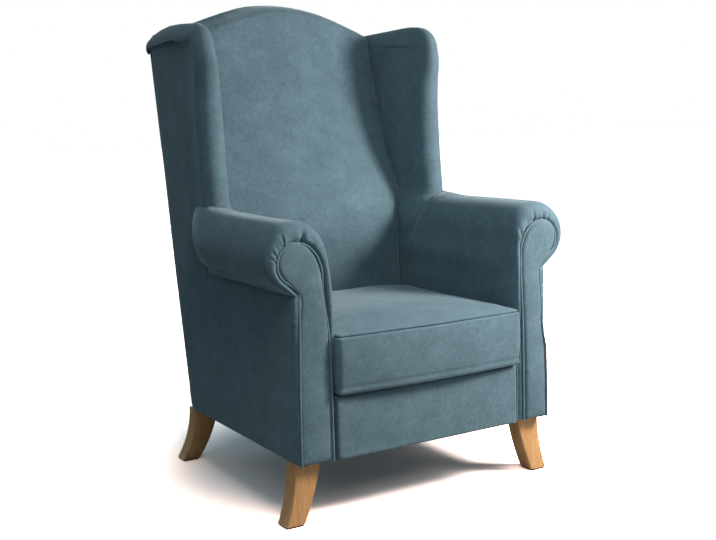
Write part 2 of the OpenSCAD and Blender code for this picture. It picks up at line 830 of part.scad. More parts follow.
module wire(length) {
    rotate([-90, 0, 0]) cylinder(r = wire_r, h = length, $fn = 24);
}
module cross_wire(x0, x1) {
    translate([x0, 0, 0]) rotate([0, 90, 0]) cylinder(r = wire_r, h = x1 - x0, $fn = 24);
}
module bend(side) {
    rotate([0, 0, side > 0 ? -90 : 90])
        rotate_extrude(angle = 180, $fn = 48) translate([bend_r, 0]) circle(r = wire_r, $fn = 24);
}

module seat_spring() {
    translate([0, spring_y0, 0]) {
        wire(spring_lead);
        translate([0, spring_lead, 0]) sphere(r = wire_r, $fn = 24);
        for (i = [0 : bends - 1]) {
            side = i % 2 == 0 ? 1 : -1;
            y = spring_lead + (2 * i + 1) * bend_r;
            translate([side * bar_l / 2, y, 0]) bend(side);
            if (i > 0) translate([0, y - bend_r, 0]) cross_wire(-bar_l / 2, bar_l / 2);
            if (i == 0) translate([0, y - bend_r, 0]) cross_wire(0, bar_l / 2);
            if (i == bends - 1) translate([0, y + bend_r, 0])
                cross_wire(side > 0 ? 0 : -bar_l / 2, side > 0 ? bar_l / 2 : 0);
        }
        translate([0, spring_lead + 2 * bends * bend_r, 0]) {
            sphere(r = wire_r, $fn = 24);
            wire(spring_lead);
        }
    }
}

module seat_springs() {
    color(steel_colour) for (x = spring_xs) translate([x, 0, wire_z]) seat_spring();
}

module spring_clips() {
    color(steel_colour)
        for (x = spring_xs, y = [spring_y0 - clip_d, spring_y1])
            box([x - clip_w / 2, y, rail_top_z - clip_h], [x + clip_w / 2, y + clip_d, rail_top_z]);
}

// Loose cushion

cushion_z = deck_z + deck_gap;
seam_z = deck_z + border_h;
cushion_half_w = arm_in_x - cushion_gap;
cushion_front_y = face_y - cushion_overhang + cushion_bulge;
cushion_d = body_d - cushion_back + cushion_overhang - cushion_bulge;
cushion_mid_y = cushion_front_y + cushion_d / 2;
edge_steps = 6;
corner_angles = [22.5, 45, 67.5];

// The cushion's outline in X and Y, pulled in by an inset, counter-clockwise from its front left
function cushion_outline(inset) =
    let (
        a = cushion_half_w - inset,
        r = cushion_corner_r,
        y0 = cushion_front_y + inset,
        y1 = cushion_front_y + cushion_d - inset,
        front = [for (i = [0 : edge_steps])
            let (s = 2 * i / edge_steps - 1) [s * (a - r), y0 - cushion_bulge * (1 - s * s)]],
        right = [for (i = [0 : edge_steps])
            let (s = 2 * i / edge_steps - 1)
            [a - cushion_draw * (1 - s * s), lerp(y0 + r, y1 - r, (s + 1) / 2)]],
        rear = [for (i = [0 : edge_steps]) [(a - r) * (1 - 2 * i / edge_steps), y1]],
        left = [for (i = [0 : edge_steps])
            let (s = 1 - 2 * i / edge_steps)
            [-a + cushion_draw * (1 - s * s), lerp(y0 + r, y1 - r, (s + 1) / 2)]],
        corner = function (x, y, start)
            [for (c = corner_angles) [x + r * cos(start + c), y + r * sin(start + c)]]
    )
    concat(
        front, corner(a - r, y0 + r, -90), right, corner(a - r, y1 - r, 0),
        rear, corner(-a + r, y1 - r, 90), left, corner(-a + r, y0 + r, 180)
    );
seam_outline = cushion_outline(border_belly);
belly_outline = cushion_outline(0);

// Rings inside the seam as shares of the outline, and how much of the crown each has
dome_shares = [[1, 0], [0.95, 0.32], [0.85, 0.60], [0.65, 0.85], [0.35, 0.97]];
function shrunk(outline, share) = [
    for (p = outline) [p[0] * share, cushion_mid_y + (p[1] - cushion_mid_y) * share]
];
function level(outline, z) = [for (p = outline) [p[0], p[1], z]];
function dome_ring(k, drop) =
    level(shrunk(seam_outline, dome_shares[k][0]), seam_z - drop + cushion_crown * dome_shares[k][1]);
dome_last = len(dome_shares) - 1;

module cushion_top_panel() {
    color(fabric_colour) domed(
        concat(
            [for (k = [dome_last : -1 : 0]) dome_ring(k, cover_t)],
            [for (k = [0 : dome_last]) dome_ring(k, 0)]
        ),
        [0, cushion_mid_y, seam_z - cover_t + cushion_crown],
        [0, cushion_mid_y, seam_z + cushion_crown]
    );
}

module cushion_border() {
    low = cushion_z + cover_t;
    high = seam_z - cover_t;
    core = shrunk(seam_outline, dome_shares[1][0]);
    n = len(seam_outline);
    rings = [
        level(core, low),
        level(seam_outline, low),
        level(belly_outline, lerp(low, high, 0.25)),
        level(belly_outline, lerp(low, high, 0.75)),
        level(seam_outline, high),
        dome_ring(1, cover_t)
    ];
    faces = side_faces(len(rings), n);
    last = n * (len(rings) - 1);
    closing = [
        for (j = [0 : n - 1])
            let (k = (j + 1) % n) each [[last + j, j, last + k], [last + k, j, k]]
    ];
    color(fabric_colour)
        polyhedron(points = [for (ring = rings) each ring], faces = concat(faces, closing));
}

module cushion_bottom_panel() {
    color(fabric_colour) translate([0, 0, cushion_z]) linear_extrude(height = cover_t)
        polygon(seam_outline);
}

module cushion_foam() {
    low = cushion_z + cover_t;
    color(foam_colour) domed(
        concat(
            [level(shrunk(seam_outline, dome_shares[1][0]), low)],
            [for (k = [1 : dome_last]) dome_ring(k, cover_t)]
        ),
        [0, cushion_mid_y, low],
        [0, cushion_mid_y, seam_z - cover_t + cushion_crown]
    );
}

module cushion_zip() {
    y = cushion_front_y + cushion_d;
    z = (cushion_z + seam_z) / 2;
    color(cloth_colour) box([-zip_l / 2, y, z - zip_w / 2], [zip_l / 2, y + zip_t, z + zip_w / 2]);
}

// Legs and their fixings

leg_top_x = half_w - leg_inset;
leg_foot_x = half_w + leg_splay;
leg_steps = 10;

// A leg's outlines: a slow curve down one side and back up the other, in X and Z for its splay
// to the side and in Y and Z for its splay to the rear
function leg_z(t) = lerp(body_z, glide_t, t);
function leg_outer(t) = [lerp(leg_top_x, leg_foot_x, pow(t, leg_curve)), leg_z(t)];
function leg_inner(t) =
    [lerp(leg_top_x - leg_top_w, leg_foot_x - leg_foot_w, pow(t, leg_inner_curve)), leg_z(t)];

module leg(side, y, bolt_y, rear_splay) {
    steps = rear_splay > 0 ? leg_steps : 1;
    color(beech_colour) sided(side) difference() {
        intersection() {
            along(y, y + leg_d + rear_splay) polygon(concat(
                [for (i = [0 : leg_steps]) leg_outer(i / leg_steps)],
                [for (i = [leg_steps : -1 : 0]) leg_inner(i / leg_steps)]
            ));
            across(leg_top_x - leg_top_w - cut, leg_foot_x + cut) polygon(concat(
                [for (i = [0 : steps])
                    [y + rear_splay * pow(i / steps, leg_curve), leg_z(i / steps)]],
                [for (i = [steps : -1 : 0])
                    [y + leg_d + rear_splay * pow(i / steps, leg_curve), leg_z(i / steps)]]
            ));
        }
        translate([bolt_x, bolt_y, body_z - bolt_in_leg])
            cylinder(r = bolt_r + bore_gap, h = bolt_in_leg + cut);
    }
}
front_legs_y = face_y + front_leg_y;
rear_legs_y = back_y(body_z) - rear_leg_y - leg_d;

// The four places of a bolt
bolt_places = [for (side = [-1, 1], y = [front_bolt_y, rear_bolt_y]) [side * bolt_x, y]];

module leg_bolts() {
    color(steel_colour) for (p = bolt_places)
        translate([p[0], p[1], body_z - bolt_in_leg])
            cylinder(r = bolt_r, h = bolt_in_leg + bolt_in_frame);
}

module leg_inserts() {
    color(steel_colour) for (p = bolt_places)
        translate([p[0], p[1], body_z]) difference() {
            cylinder(r = insert_r, h = insert_l);
            translate([0, 0, -cut]) cylinder(r = bolt_r + bore_gap, h = insert_l + 2 * cut);
        }
}

module leg_glides() {
    x0 = leg_foot_x - leg_foot_w + glide_inset;
    x1 = leg_foot_x - glide_inset;
    color(cloth_colour) for (side = [-1, 1], y = [front_legs_y, rear_legs_y + rear_leg_splay])
        sided(side) box([x0, y + glide_inset, 0], [x1, y + leg_d - glide_inset, glide_t]);
}

front_rail();
rear_rail();
side_rail(-1);  // left_side_rail
side_rail(1);  // right_side_rail
corner_blocks();
front_post(-1);  // left_front_post
front_post(1);  // right_front_post
back_post(-1);  // left_back_post
back_post(1);  // right_back_post
back_top_rail();
back_cross_rail();
arm_rail(-1);  // left_arm_rail
arm_rail(1);  // right_arm_rail
wing_board(-1);  // left_wing_board
wing_board(1);  // right_wing_board
seat_springs();
spring_clips();
seat_deck();
back_webbing();
dust_cover();
arm_pad(-1);  // left_arm_pad
arm_pad(1);  // right_arm_pad
arm_facing(-1);  // left_arm_facing
arm_facing(1);  // right_arm_facing
facing_piping(-1);  // left_facing_piping
facing_piping(1);  // right_facing_piping
wing_pad(-1);  // left_wing_pad
wing_pad(1);  // right_wing_pad
side_panel(-1);  // left_side_panel
side_panel(1);  // right_side_panel
back_pad();
outside_back_panel();
front_rail_cover();
cushion_top_panel();
cushion_border();
cushion_bottom_panel();
cushion_foam();
cushion_zip();
leg(-1, front_legs_y, front_bolt_y, 0);  // front_left_leg
leg(1, front_legs_y, front_bolt_y, 0);  // front_right_leg
leg(-1, rear_legs_y, rear_bolt_y, rear_leg_splay);  // rear_left_leg
leg(1, rear_legs_y, rear_bolt_y, rear_leg_splay);  // rear_right_leg
leg_bolts();
leg_inserts();
leg_glides();
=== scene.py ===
import bpy, bmesh, math
import numpy as np
from mathutils import Matrix, Vector
from mathutils.geometry import delaunay_2d_cdt


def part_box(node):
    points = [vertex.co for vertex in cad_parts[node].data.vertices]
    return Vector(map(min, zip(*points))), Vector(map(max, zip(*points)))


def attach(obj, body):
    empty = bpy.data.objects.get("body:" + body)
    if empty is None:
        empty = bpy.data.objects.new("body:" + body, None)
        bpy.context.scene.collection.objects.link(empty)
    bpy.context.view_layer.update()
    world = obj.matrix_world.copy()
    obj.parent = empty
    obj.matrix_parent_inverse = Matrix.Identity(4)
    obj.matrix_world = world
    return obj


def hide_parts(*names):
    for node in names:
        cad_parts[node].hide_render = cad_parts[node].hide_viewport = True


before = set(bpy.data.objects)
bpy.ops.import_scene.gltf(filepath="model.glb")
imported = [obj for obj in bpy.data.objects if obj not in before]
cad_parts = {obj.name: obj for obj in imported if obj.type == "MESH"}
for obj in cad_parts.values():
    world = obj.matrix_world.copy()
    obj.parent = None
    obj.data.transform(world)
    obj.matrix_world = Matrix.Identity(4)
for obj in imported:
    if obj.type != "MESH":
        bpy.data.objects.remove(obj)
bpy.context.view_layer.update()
scene = bpy.context.scene

# Sizes in millimetres, the same as the solids'. FACE is the Y of the body's front.
OVERALL_H, BODY_D, BODY_Z, OVERHANG = 1160, 609, 139, 22
RAKE_DEG = 10.7
RAKE = math.tan(math.radians(RAKE_DEG))
FACE = OVERHANG - (OVERHANG + BODY_D + RAKE * (OVERALL_H - BODY_Z)) / 2
HALF_W, PANEL_T, TIMBER_OUT, TIMBER_IN, POST_D = 330, 22, 308, 272, 45
ROLL_R, ROLL_X, ROLL_Z, ARM_IN, CREASE_Z = 73, 317, 577, 244, 498
BOARD_Y, POCKET_Y, RAIL_Y = FACE + 5, FACE + 17, FACE + 33
DECK_Z, SEAM_Z, CUSHION_Z, CUSHION_Y, CUSHION_D = 277, 406, 279, FACE - 12, 481
PIPE_R = 2.5


def back_y(z):
    return FACE + BODY_D + RAKE * (z - BODY_Z)


def panel_y(z):
    return back_y(z) - PANEL_T


def post_y(z):
    return panel_y(z) - POST_D


# The back's arched top, and how far the padding departs from the solids' even arch
ARCH_HALF, ARCH_DROP = 285, 98
ARCH_X = [-285, -224, -187, -151, -100, -45, 0, 71, 138, 187, 224, 263, 285]
ARCH_LIFT = [7, 3.5, -1, -4.2, -6.3, -4.8, -3.8, -2.6, 0, 3.2, 8, 13, 16]


def arch_z(x):
    even = OVERALL_H - ARCH_DROP * (1 - np.cos(np.pi / 2 * np.minimum(np.abs(x) / ARCH_HALF, 1)))
    return even + curve_at(ARCH_X, ARCH_LIFT, x)


# The photograph's camera: its frame, focal length and optical centre in pixels
IMAGE_W, IMAGE_H, SENSOR = 716, 540, 36
FOCAL, CENTRE_X, CENTRE_Y = 1098.2, 358.3, 266.5


def link(name, data):
    ob = bpy.data.objects.new(name, data)
    scene.collection.objects.link(ob)
    return ob


def camera():
    yaw, pitch, roll = (math.radians(a) for a in (-30.767, 7.839, -1.646))
    back = Vector((math.sin(yaw) * math.cos(pitch), -math.cos(yaw) * math.cos(pitch), math.sin(pitch)))
    right = (-back).cross(Vector((0, 0, 1))).normalized()
    up = right.cross(-back)
    r = math.cos(roll) * right + math.sin(roll) * up
    u = -math.sin(roll) * right + math.cos(roll) * up
    cam = bpy.data.cameras.new("photo_camera")
    cam.sensor_width = SENSOR
    cam.lens = FOCAL / IMAGE_W * SENSOR
    cam.shift_x = (IMAGE_W / 2 - CENTRE_X) / IMAGE_W
    cam.shift_y = (CENTRE_Y - IMAGE_H / 2) / IMAGE_W
    ob = link("photo_camera", cam)
    place = (-1.3374, -2.2829 + FACE / 1000 + 0.336, 0.8579)
    ob.matrix_world = Matrix(((r.x, u.x, back.x, place[0]), (r.y, u.y, back.y, place[1]),
                              (r.z, u.z, back.z, place[2]), (0, 0, 0, 1)))
    scene.camera = ob


camera()


# Mesh helpers
def mesh(name, verts, faces, outward=True):
    me = bpy.data.meshes.new(name)
    me.from_pydata((np.asarray(verts, float) * 0.001).tolist(), [], [tuple(int(i) for i in f) for f in faces])
    if outward:
        bm = bmesh.new()
        bm.from_mesh(me)
        bmesh.ops.recalc_face_normals(bm, faces=bm.faces)
        bm.to_mesh(me)
        bm.free()
    me.shade_smooth()
    return link(name, me)


def grid_faces(nv, nu, wrap=False):
    """The faces of nv rows of nu points. With wrap, each row is a closed ring."""
    last = nu if wrap else nu - 1
    return [(j * nu + i, j * nu + (i + 1) % nu, (j + 1) * nu + (i + 1) % nu, (j + 1) * nu + i)
            for j in range(nv - 1) for i in range(last)]


def sided(points, side):
    out = np.array(points, float)
    out[..., 0] *= side
    return out


def name_of(side):
    return "left" if side < 0 else "right"


def catmull(rows, n):
    """n places along a smooth curve through rows of values."""
    p = np.asarray(rows, float)
    p = np.vstack([2 * p[0] - p[1], p, 2 * p[-1] - p[-2]])
    t = np.linspace(0, len(rows) - 1, n)
    k = np.minimum(t.astype(int), len(rows) - 2)
    f = (t - k)[:, None]
    a, b, c, d = p[k], p[k + 1], p[k + 2], p[k + 3]
    return 0.5 * (2 * b + (c - a) * f + (2 * a - 5 * b + 4 * c - d) * f ** 2 + (3 * b - a - 3 * c + d) * f ** 3)


def curve_at(xs, ys, x):
    """A smooth curve through (xs, ys), read at x."""
    pts = catmull(np.stack([xs, ys], 1), 400)
    return np.interp(x, pts[:, 0], pts[:, 1])


def waves(P, seed, scale, amp):
    """Soft unevenness: a few long waves in fixed directions."""
    rng = np.random.default_rng(seed)
    out = np.zeros(P.shape[:-1])
    for _ in range(8):
        d = rng.normal(size=3)
        d /= np.linalg.norm(d)
        f = 2 * math.pi / (scale * rng.uniform(0.6, 1.7))
        out += np.sin((P @ d) * f + rng.uniform(0, 6.28))
    return amp * out / math.sqrt(8)


def flat_waves(v, *args):
    return waves(np.stack([v[:, 0], v[:, 1], np.zeros(len(v))], 1), *args)


def grid_normals(P, away_from):
    """Unit normals of a grid of points, on the side away from a point within."""
    n = np.cross(np.gradient(P, axis=1), np.gradient(P, axis=0))
    n /= np.maximum(np.linalg.norm(n, axis=-1, keepdims=True), 1e-9)
    if ((P - away_from) * n).sum() < 0:
        n = -n
    return n


def near(x, width):
    """1 at x = 0, falling off in a bell of that width."""
    return np.exp(-(x / width) ** 2)


def unit(x):
    return np.clip(x, 0, 1)


def smooth(x):
    """From 0 to 1 as x does, with level ends."""
    x = unit(x)
    return x * x * (3 - 2 * x)


# Materials
def material(name, rough, **inputs):
    m = bpy.data.materials.new(name)
    m.use_nodes = True
    p = m.node_tree.nodes["Principled BSDF"]
    p.inputs["Roughness"].default_value = rough
    for key, value in inputs.items():
        p.inputs[key.replace("_", " ")].default_value = value
    return m, m.node_tree, p


def add(nt, kind, inputs, **settings):
    """A new node. inputs gives each of its sockets a value, or the socket that feeds it."""
    n = nt.nodes.new("ShaderNode" + kind)
    for key, value in settings.items():
        setattr(n, key, value)
    for key, value in inputs.items():
        if isinstance(value, bpy.types.NodeSocket):
            nt.links.new(value, n.inputs[key])
        else:
            n.inputs[key].default_value = value
    return n


def coords(nt, scale=(1, 1, 1)):
    place = add(nt, "TexCoord", {}).outputs["Object"]
    return add(nt, "Mapping", {"Scale": scale, "Vector": place}).outputs["Vector"]


def noise(nt, vector, scale, detail=3, roughness=0.55, distortion=0.0):
    return add(nt, "TexNoise", {"Vector": vector, "Scale": scale, "Detail": detail, "Roughness": roughness,
                                "Distortion": distortion}).outputs["Fac"]


def ramp(nt, fac, stops):
    r = add(nt, "ValToRGB", {"Fac": fac})
    while len(r.color_ramp.elements) > 1:
        r.color_ramp.elements.remove(r.color_ramp.elements[-1])
    for i, (pos, col) in enumerate(stops):
        e = r.color_ramp.elements[0] if i == 0 else r.color_ramp.elements.new(pos)
        e.position = pos
        e.color = (*col, 1)
    return r.outputs["Color"]


def mix(nt, kind, fac, a, b):
    return add(nt, "Mix", {0: fac, 6: a, 7: b}, data_type="RGBA", blend_type=kind).outputs[2]


def bump(nt, shader, layers):
    """layers: (height socket, strength, distance in metres), the largest first."""
    last = None
    for height, strength, distance in layers:
        b = add(nt, "Bump", {"Strength": strength, "Distance": distance, "Height": height})
        if last:
            nt.links.new(last, b.inputs["Normal"])
        last = b.outputs["Normal"]
    nt.links.new(last, shader.inputs["Normal"])


def grey(value):
    return (value, value, value)


def times(colour, factor):
    return tuple(min(1, c * factor) for c in colour)


def velvet(name, tone=1.0):
    """Matte pile fabric: cloudy where the pile leans, with short upright fibres."""
    m, nt, p = material(name, 0.92, Sheen_Weight=0.55, Sheen_Roughness=0.38,
                        Sheen_Tint=(0.75, 0.92, 1.0, 1), Specular_IOR_Level=0.15)
    v = coords(nt)
    base = ramp(nt, noise(nt, v, 16, 5, 0.6, 0.3), [
        (0.28, times((0.106, 0.178, 0.214), tone)),
        (0.50, times((0.124, 0.205, 0.246), tone)),
        (0.72, times((0.146, 0.238, 0.283), tone)),
    ])
    fibre = noise(nt, coords(nt, (1, 1, 0.22)), 620, 3, 0.7)
    speck = ramp(nt, fibre, [(0.3, grey(0.80)), (0.7, grey(1.18))])
    patch = ramp(nt, noise(nt, v, 90, 4, 0.65), [(0.3, grey(0.90)), (0.7, grey(1.10))])
    colour = mix(nt, "MULTIPLY", 1.0, mix(nt, "MULTIPLY", 1.0, base, speck), patch)
    nt.links.new(colour, p.inputs["Base Color"])
    bump(nt, p, [(noise(nt, v, 140, 3), 0.25, 0.0008), (fibre, 0.35, 0.0004)])
    return m


def wood(name, dark, light, rough=0.42, scale=1.0, along="Z"):
    """Straight-grained timber with fine flecks. along is the way of its grain."""
    m, nt, p = material(name, rough, Specular_IOR_Level=0.4)
    s = {"X": (0.07, 1, 1), "Y": (1, 0.07, 1), "Z": (1, 1, 0.07)}[along]
    grain = noise(nt, coords(nt, s), 60 * scale, 6, 0.62, 0.6)
    fleck = noise(nt, coords(nt, times(s, 2.5)), 420 * scale, 2, 0.6)
    mid = tuple((a + b) / 2 for a, b in zip(dark, light))
    base = ramp(nt, grain, [(0.30, dark), (0.48, mid), (0.66, light)])
    flecks = ramp(nt, fleck, [(0.30, (0.80, 0.74, 0.68)), (0.44, grey(1))])
    nt.links.new(mix(nt, "MULTIPLY", 0.8, base, flecks), p.inputs["Base Color"])
    bump(nt, p, [(grain, 0.10, 0.0006), (fleck, 0.12, 0.0003)])
    return m


def speckled(name, colour, rough, size, depth, metal=0.0):
    m, nt, p = material(name, rough, Metallic=metal)
    n = noise(nt, coords(nt), size, 4, 0.6)
    shade = ramp(nt, n, [(0.3, times(colour, 0.88)), (0.7, times(colour, 1.12))])
    nt.links.new(shade, p.inputs["Base Color"])
    bump(nt, p, [(n, 0.4, depth)])
    return m


def woven(name, colour, pitch):
    """Plain weave with threads pitch metres apart."""
    m, nt, p = material(name, 0.9)
    x, y, z = (add(nt, "TexWave", {"Scale": 0.157 / pitch, "Distortion": 0.4, "Vector": coords(nt)},
                   bands_direction=axis).outputs["Color"] for axis in "XYZ")
    threads = mix(nt, "LIGHTEN", 0.5, mix(nt, "LIGHTEN", 1.0, x, y), z)
    shade = ramp(nt, threads, [(0.1, times(colour, 0.6)), (0.9, times(colour, 1.25))])
    nt.links.new(shade, p.inputs["Base Color"])
    bump(nt, p, [(threads, 0.5, 0.0004)])
    return m


VELVET = velvet("velvet")
# the cords' velvet is made lighter than the covers': a painted highlight along the piping
PIPING_HIGHLIGHT = velvet("velvet_piping_highlight", 1.12)
BEECH = wood("beech", (0.60, 0.300, 0.100), (0.86, 0.490, 0.215))
TIMBER = wood("frame_timber", (0.40, 0.27, 0.14), (0.62, 0.46, 0.28), 0.7, 0.8, "X")
STEEL = speckled("spring_wire", (0.42, 0.43, 0.45), 0.38, 300, 0.0002, 1.0)
ZINC = speckled("zinc_plated", (0.62, 0.63, 0.65), 0.32, 500, 0.0001, 1.0)
DECK = woven("deck_cloth", (0.045, 0.050, 0.056), 0.0016)
WEBBING = woven("webbing", (0.16, 0.14, 0.11), 0.0022)
DUST = woven("dust_cloth", (0.030, 0.030, 0.033), 0.0012)
FOAM = speckled("foam", (0.80, 0.76, 0.58), 0.95, 700, 0.0006)
ZIP = woven("zip_tape", (0.055, 0.085, 0.105), 0.0009)
NYLON = speckled("nylon_coil", (0.05, 0.075, 0.09), 0.4, 600, 0.0001)
GLIDE = speckled("glide", (0.035, 0.030, 0.026), 0.5, 400, 0.0002)


def finish_piece(ob, mat, body="frame", replaces=()):
    ob.data.materials.clear()
    ob.data.materials.append(mat)
    if replaces:
        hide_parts(*replaces)
    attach(ob, body)


# Panels
def outline_distance(P, poly):
    d = np.full(len(P), 1e9)
    for a, b in zip(poly, np.roll(poly, -1, 0)):
        ab = b - a
        t = np.clip(((P - a) @ ab) / max(ab @ ab, 1e-9), 0, 1)
        d = np.minimum(d, np.linalg.norm(P - a - t[:, None] * ab, axis=1))
    return d


def inside(P, poly):
    x, y = P[:, 0], P[:, 1]
    out = np.zeros(len(P), bool)
    for (x0, y0), (x1, y1) in zip(poly, np.roll(poly, -1, 0)):
        if y0 == y1:
            continue
        out ^= ((y0 > y) != (y1 > y)) & (x < (x1 - x0) * (y - y0) / (y1 - y0) + x0)
    return out


def panel(name, poly, place, height, radius, step, shape):
    """A padded board over an outline, rounded at its edge, with points step apart. place turns the
    outline's own coordinates and a height over the board into a place in the chair. shape gives the
    unevenness, from those coordinates and the distance to the edge."""
    poly = np.asarray(poly, float)
    dense = []
    for a, b in zip(poly, np.roll(poly, -1, 0)):
        n = max(1, int(np.linalg.norm(b - a) / step))
        dense += [a + (b - a) * k / n for k in range(n)]
    dense = np.array(dense)
    lo, hi = dense.min(0), dense.max(0)
    gx, gy = np.meshgrid(np.arange(lo[0], hi[0], step), np.arange(lo[1], hi[1], step * 0.9))
    gx[1::2] += step / 2
    pts = np.stack([gx.ravel(), gy.ravel()], 1)
    pts = pts[inside(pts, poly)]
    pts = pts[outline_distance(pts, poly) > max(0.3 * step, 0.9 * radius)]
    along = np.roll(dense, -1, 0) - np.roll(dense, 1, 0)
    inward = np.stack([-along[:, 1], along[:, 0]], 1) / np.linalg.norm(along, axis=1, keepdims=True)
    rings = []
    for depth in (0.12 * radius, 0.35 * radius, 0.7 * radius):
        r = dense + inward * depth
        if not inside(r[:8], poly).all():
            r = dense - inward * depth
        r = r[inside(r, poly)]
        rings.append(r[outline_distance(r, poly) > 0.85 * depth])
    n = len(dense)
    edges = [(i, (i + 1) % n) for i in range(n)]
    points = [Vector(p) for p in np.vstack([dense, *rings, pts])]
    verts2, _, faces, *_ = delaunay_2d_cdt(points, edges, [], 1, 1e-5)
    v = np.array([tuple(q) for q in verts2])
    d = outline_distance(v, poly)
    h = height - radius + np.sqrt(np.maximum(0, radius ** 2 - (radius - np.minimum(d, radius)) ** 2))
    top = place(v, h + shape(v, d))
    foot = place(v[:n], np.zeros(n))
    faces = [tuple(f) for f in faces] + [(i, j, len(v) + j, len(v) + i) for i, j in edges]
    return mesh(name, np.vstack([top, foot]), faces)


# Arm facings, their piping and the arm covers. A facing's outline: the middle and top of its scroll,
# the seat-side edge, the height where that edge starts to curve, and the scroll's outer radius
HEAD_X, HEAD_TOP, INNER_X, SHOULDER_Z, HEAD_R = 320.0, 609.0, 257.0, 530.0, 46.0
NECK_END = -58    # the angle, in degrees, where the scroll meets the neck under it
FACING_OUT = HALF_W - 12
# The seat-side edge below the scroll: the left arm's is pulled closer to the seat
IN_Z = [130, 300, 400, 440, 475, 500, SHOULDER_Z]
IN_X = {-1: [247.8, 247.6, 248.2, 250.5, 254.5, 256.3, INNER_X],
        1: [260.5, 260, 259.5, 258.6, 257.8, 257.2, INNER_X]}
# How far the pad's edge there departs from PAD_LINE
PAD_IN = {-1: [-12.8, -12.8, -12.8, -10, -7, -3.5, 0], 1: [8.5, 8, 4, 3, 1.5, 0.3, 0]}


def facing_in(side, z):
    return curve_at(IN_Z, IN_X[side], z)


def flare(side, z):
    """The right arm's front corner swells a little near the floor, under a slight waist."""
    return (6.5 * smooth((352 - z) / 50) - 1.5 * near(z - 378, 22)) * (side > 0)


def facing_head(a):
    """The scroll's edge at the angles a, from the seat's side over the top to the neck."""
    c, s = np.cos(a), np.sin(a)
    up = np.stack([HEAD_X + (HEAD_X - INNER_X) * c, SHOULDER_Z + (HEAD_TOP - SHOULDER_Z) * s], -1)
    down = np.stack([HEAD_X + HEAD_R * c, HEAD_TOP - HEAD_R + HEAD_R * s], -1)
    return np.where((a > np.pi / 2)[..., None], up, down)


def facing_line(side, n_in, n_arc, n_out):
    z = np.linspace(BODY_Z, SHOULDER_Z, n_in, endpoint=False)
    inner = np.stack([facing_in(side, z), z], 1)
    arc = facing_head(np.radians(np.linspace(180, NECK_END, n_arc)))
    t = np.linspace(0, 1, n_out + 1)[1:]
    neck = catmull([arc[-2], arc[-1], (327, 510), (FACING_OUT, CREASE_Z), (FACING_OUT, 486)], 41)[12:]
    outer_z = CREASE_Z + (BODY_Z - CREASE_Z) * t
    outer = np.stack([FACING_OUT + 9 * np.sin(np.pi / 2 * t) + flare(side, outer_z), outer_z], 1)
    neck = neck[neck[:, 1] > outer[0, 1] + 2]
    return np.vstack([inner, arc, neck[1:], outer])


# The facing pad's own edge from its inner foot round the scroll to its outer foot
PAD_LINE = [(262, 139), (262, 220), (262, 300), (262, 380), (261.8, 440), (261.4, 475), (261.2, 500),
            (261.2, 520), (263.5, 540), (268, 557), (275.5, 574), (285.5, 589), (298, 600.5), (312, 607.5),
            (327, 609), (341, 604.5), (352, 595.5), (359.5, 582), (362, 567), (358.8, 551), (351, 536.5),
            (340, 523), (328.5, 510.5), (318.5, 499), (313.5, 487), (314.5, 470), (317.5, 450), (321, 410),
            (323.5, 350), (324.8, 280), (325.3, 210), (325.5, 139)]


def arm_facing(side, seed):
    line = catmull(PAD_LINE, 330)
    low = line[:, 1] < SHOULDER_Z
    line[:, 0] += np.where(line[:, 0] < 290, curve_at(IN_Z, PAD_IN[side], line[:, 1]) * low,
                           flare(side, line[:, 1]) * (line[:, 1] < 480))

    def place(v, h):
        return sided(np.stack([v[:, 0], POCKET_Y - h, v[:, 1]], 1), side)

    def shape(v, d):
        return 3.4 * (1 - np.exp(-d / 14)) + flat_waves(v, seed, 60, 0.45)
    ob = panel(f"{name_of(side)}_facing_pad", line, place, 12.0, 6.5, 4.0, shape)
    finish_piece(ob, VELVET, replaces=[f"{name_of(side)}_arm_facing"])


def tube(points, radius, sides):
    """A smooth tube through points, with a level frame that never twists."""
    P = np.asarray(points, float)
    t = np.gradient(P, axis=0)
    t /= np.linalg.norm(t, axis=1, keepdims=True)
    a = np.cross(t, [0.0, 1.0, 0.0])
    a /= np.linalg.norm(a, axis=1, keepdims=True)
    b = np.cross(a, t)
    k = np.linspace(0, 2 * np.pi, sides, endpoint=False)
    rad = np.broadcast_to(np.asarray(radius, float), (len(P),))[:, None, None]
    ring = P[:, None] + rad * (np.cos(k)[None, :, None] * a[:, None] + np.sin(k)[None, :, None] * b[:, None])
    n = len(P)
    faces = grid_faces(n, sides, True)
    faces.append(tuple(range(sides)))
    faces.append(tuple(range((n - 1) * sides, n * sides)))
    return ring.reshape(-1, 3), faces


def facing_piping(side):
    line = facing_line(side, 60, 150, 60)
    c = np.cumsum(np.r_[0, np.linalg.norm(np.diff(line, axis=0), axis=1)])
    s = np.linspace(0, c[-1], 420)
    line = np.stack([np.interp(s, c, line[:, 0]), np.interp(s, c, line[:, 1])], 1)
    d = np.gradient(line, axis=0)
    n = np.stack([d[:, 1], -d[:, 0]], 1) / np.linalg.norm(d, axis=1, keepdims=True)
    # low down the cord lies closer in, and further forward
    low = unit((470 - line[:, 1]) / 120)
    mid = line + n * (PIPE_R * (1.2 - 0.5 * low))[:, None]
    P = np.stack([mid[:, 0], BOARD_Y + 2.5 - 4.4 * low, mid[:, 1]], 1)
    rad = PIPE_R * (1 + 0.03 * np.sin(s / 1.3) + 0.03 * np.sin(s / 17))
    verts, faces = tube(P, rad, 10)
    ob = mesh(f"{name_of(side)}_piping_cord", sided(verts, side), faces)
    finish_piece(ob, PIPING_HIGHLIGHT, replaces=[f"{name_of(side)}_facing_piping"])


# The rear end of the arm's roll: how far behind the body's front it meets the crease, and how far
# it goes on back and up from there
ROLL_END, ROLL_ON, ROLL_RISE = 436, 76, 152


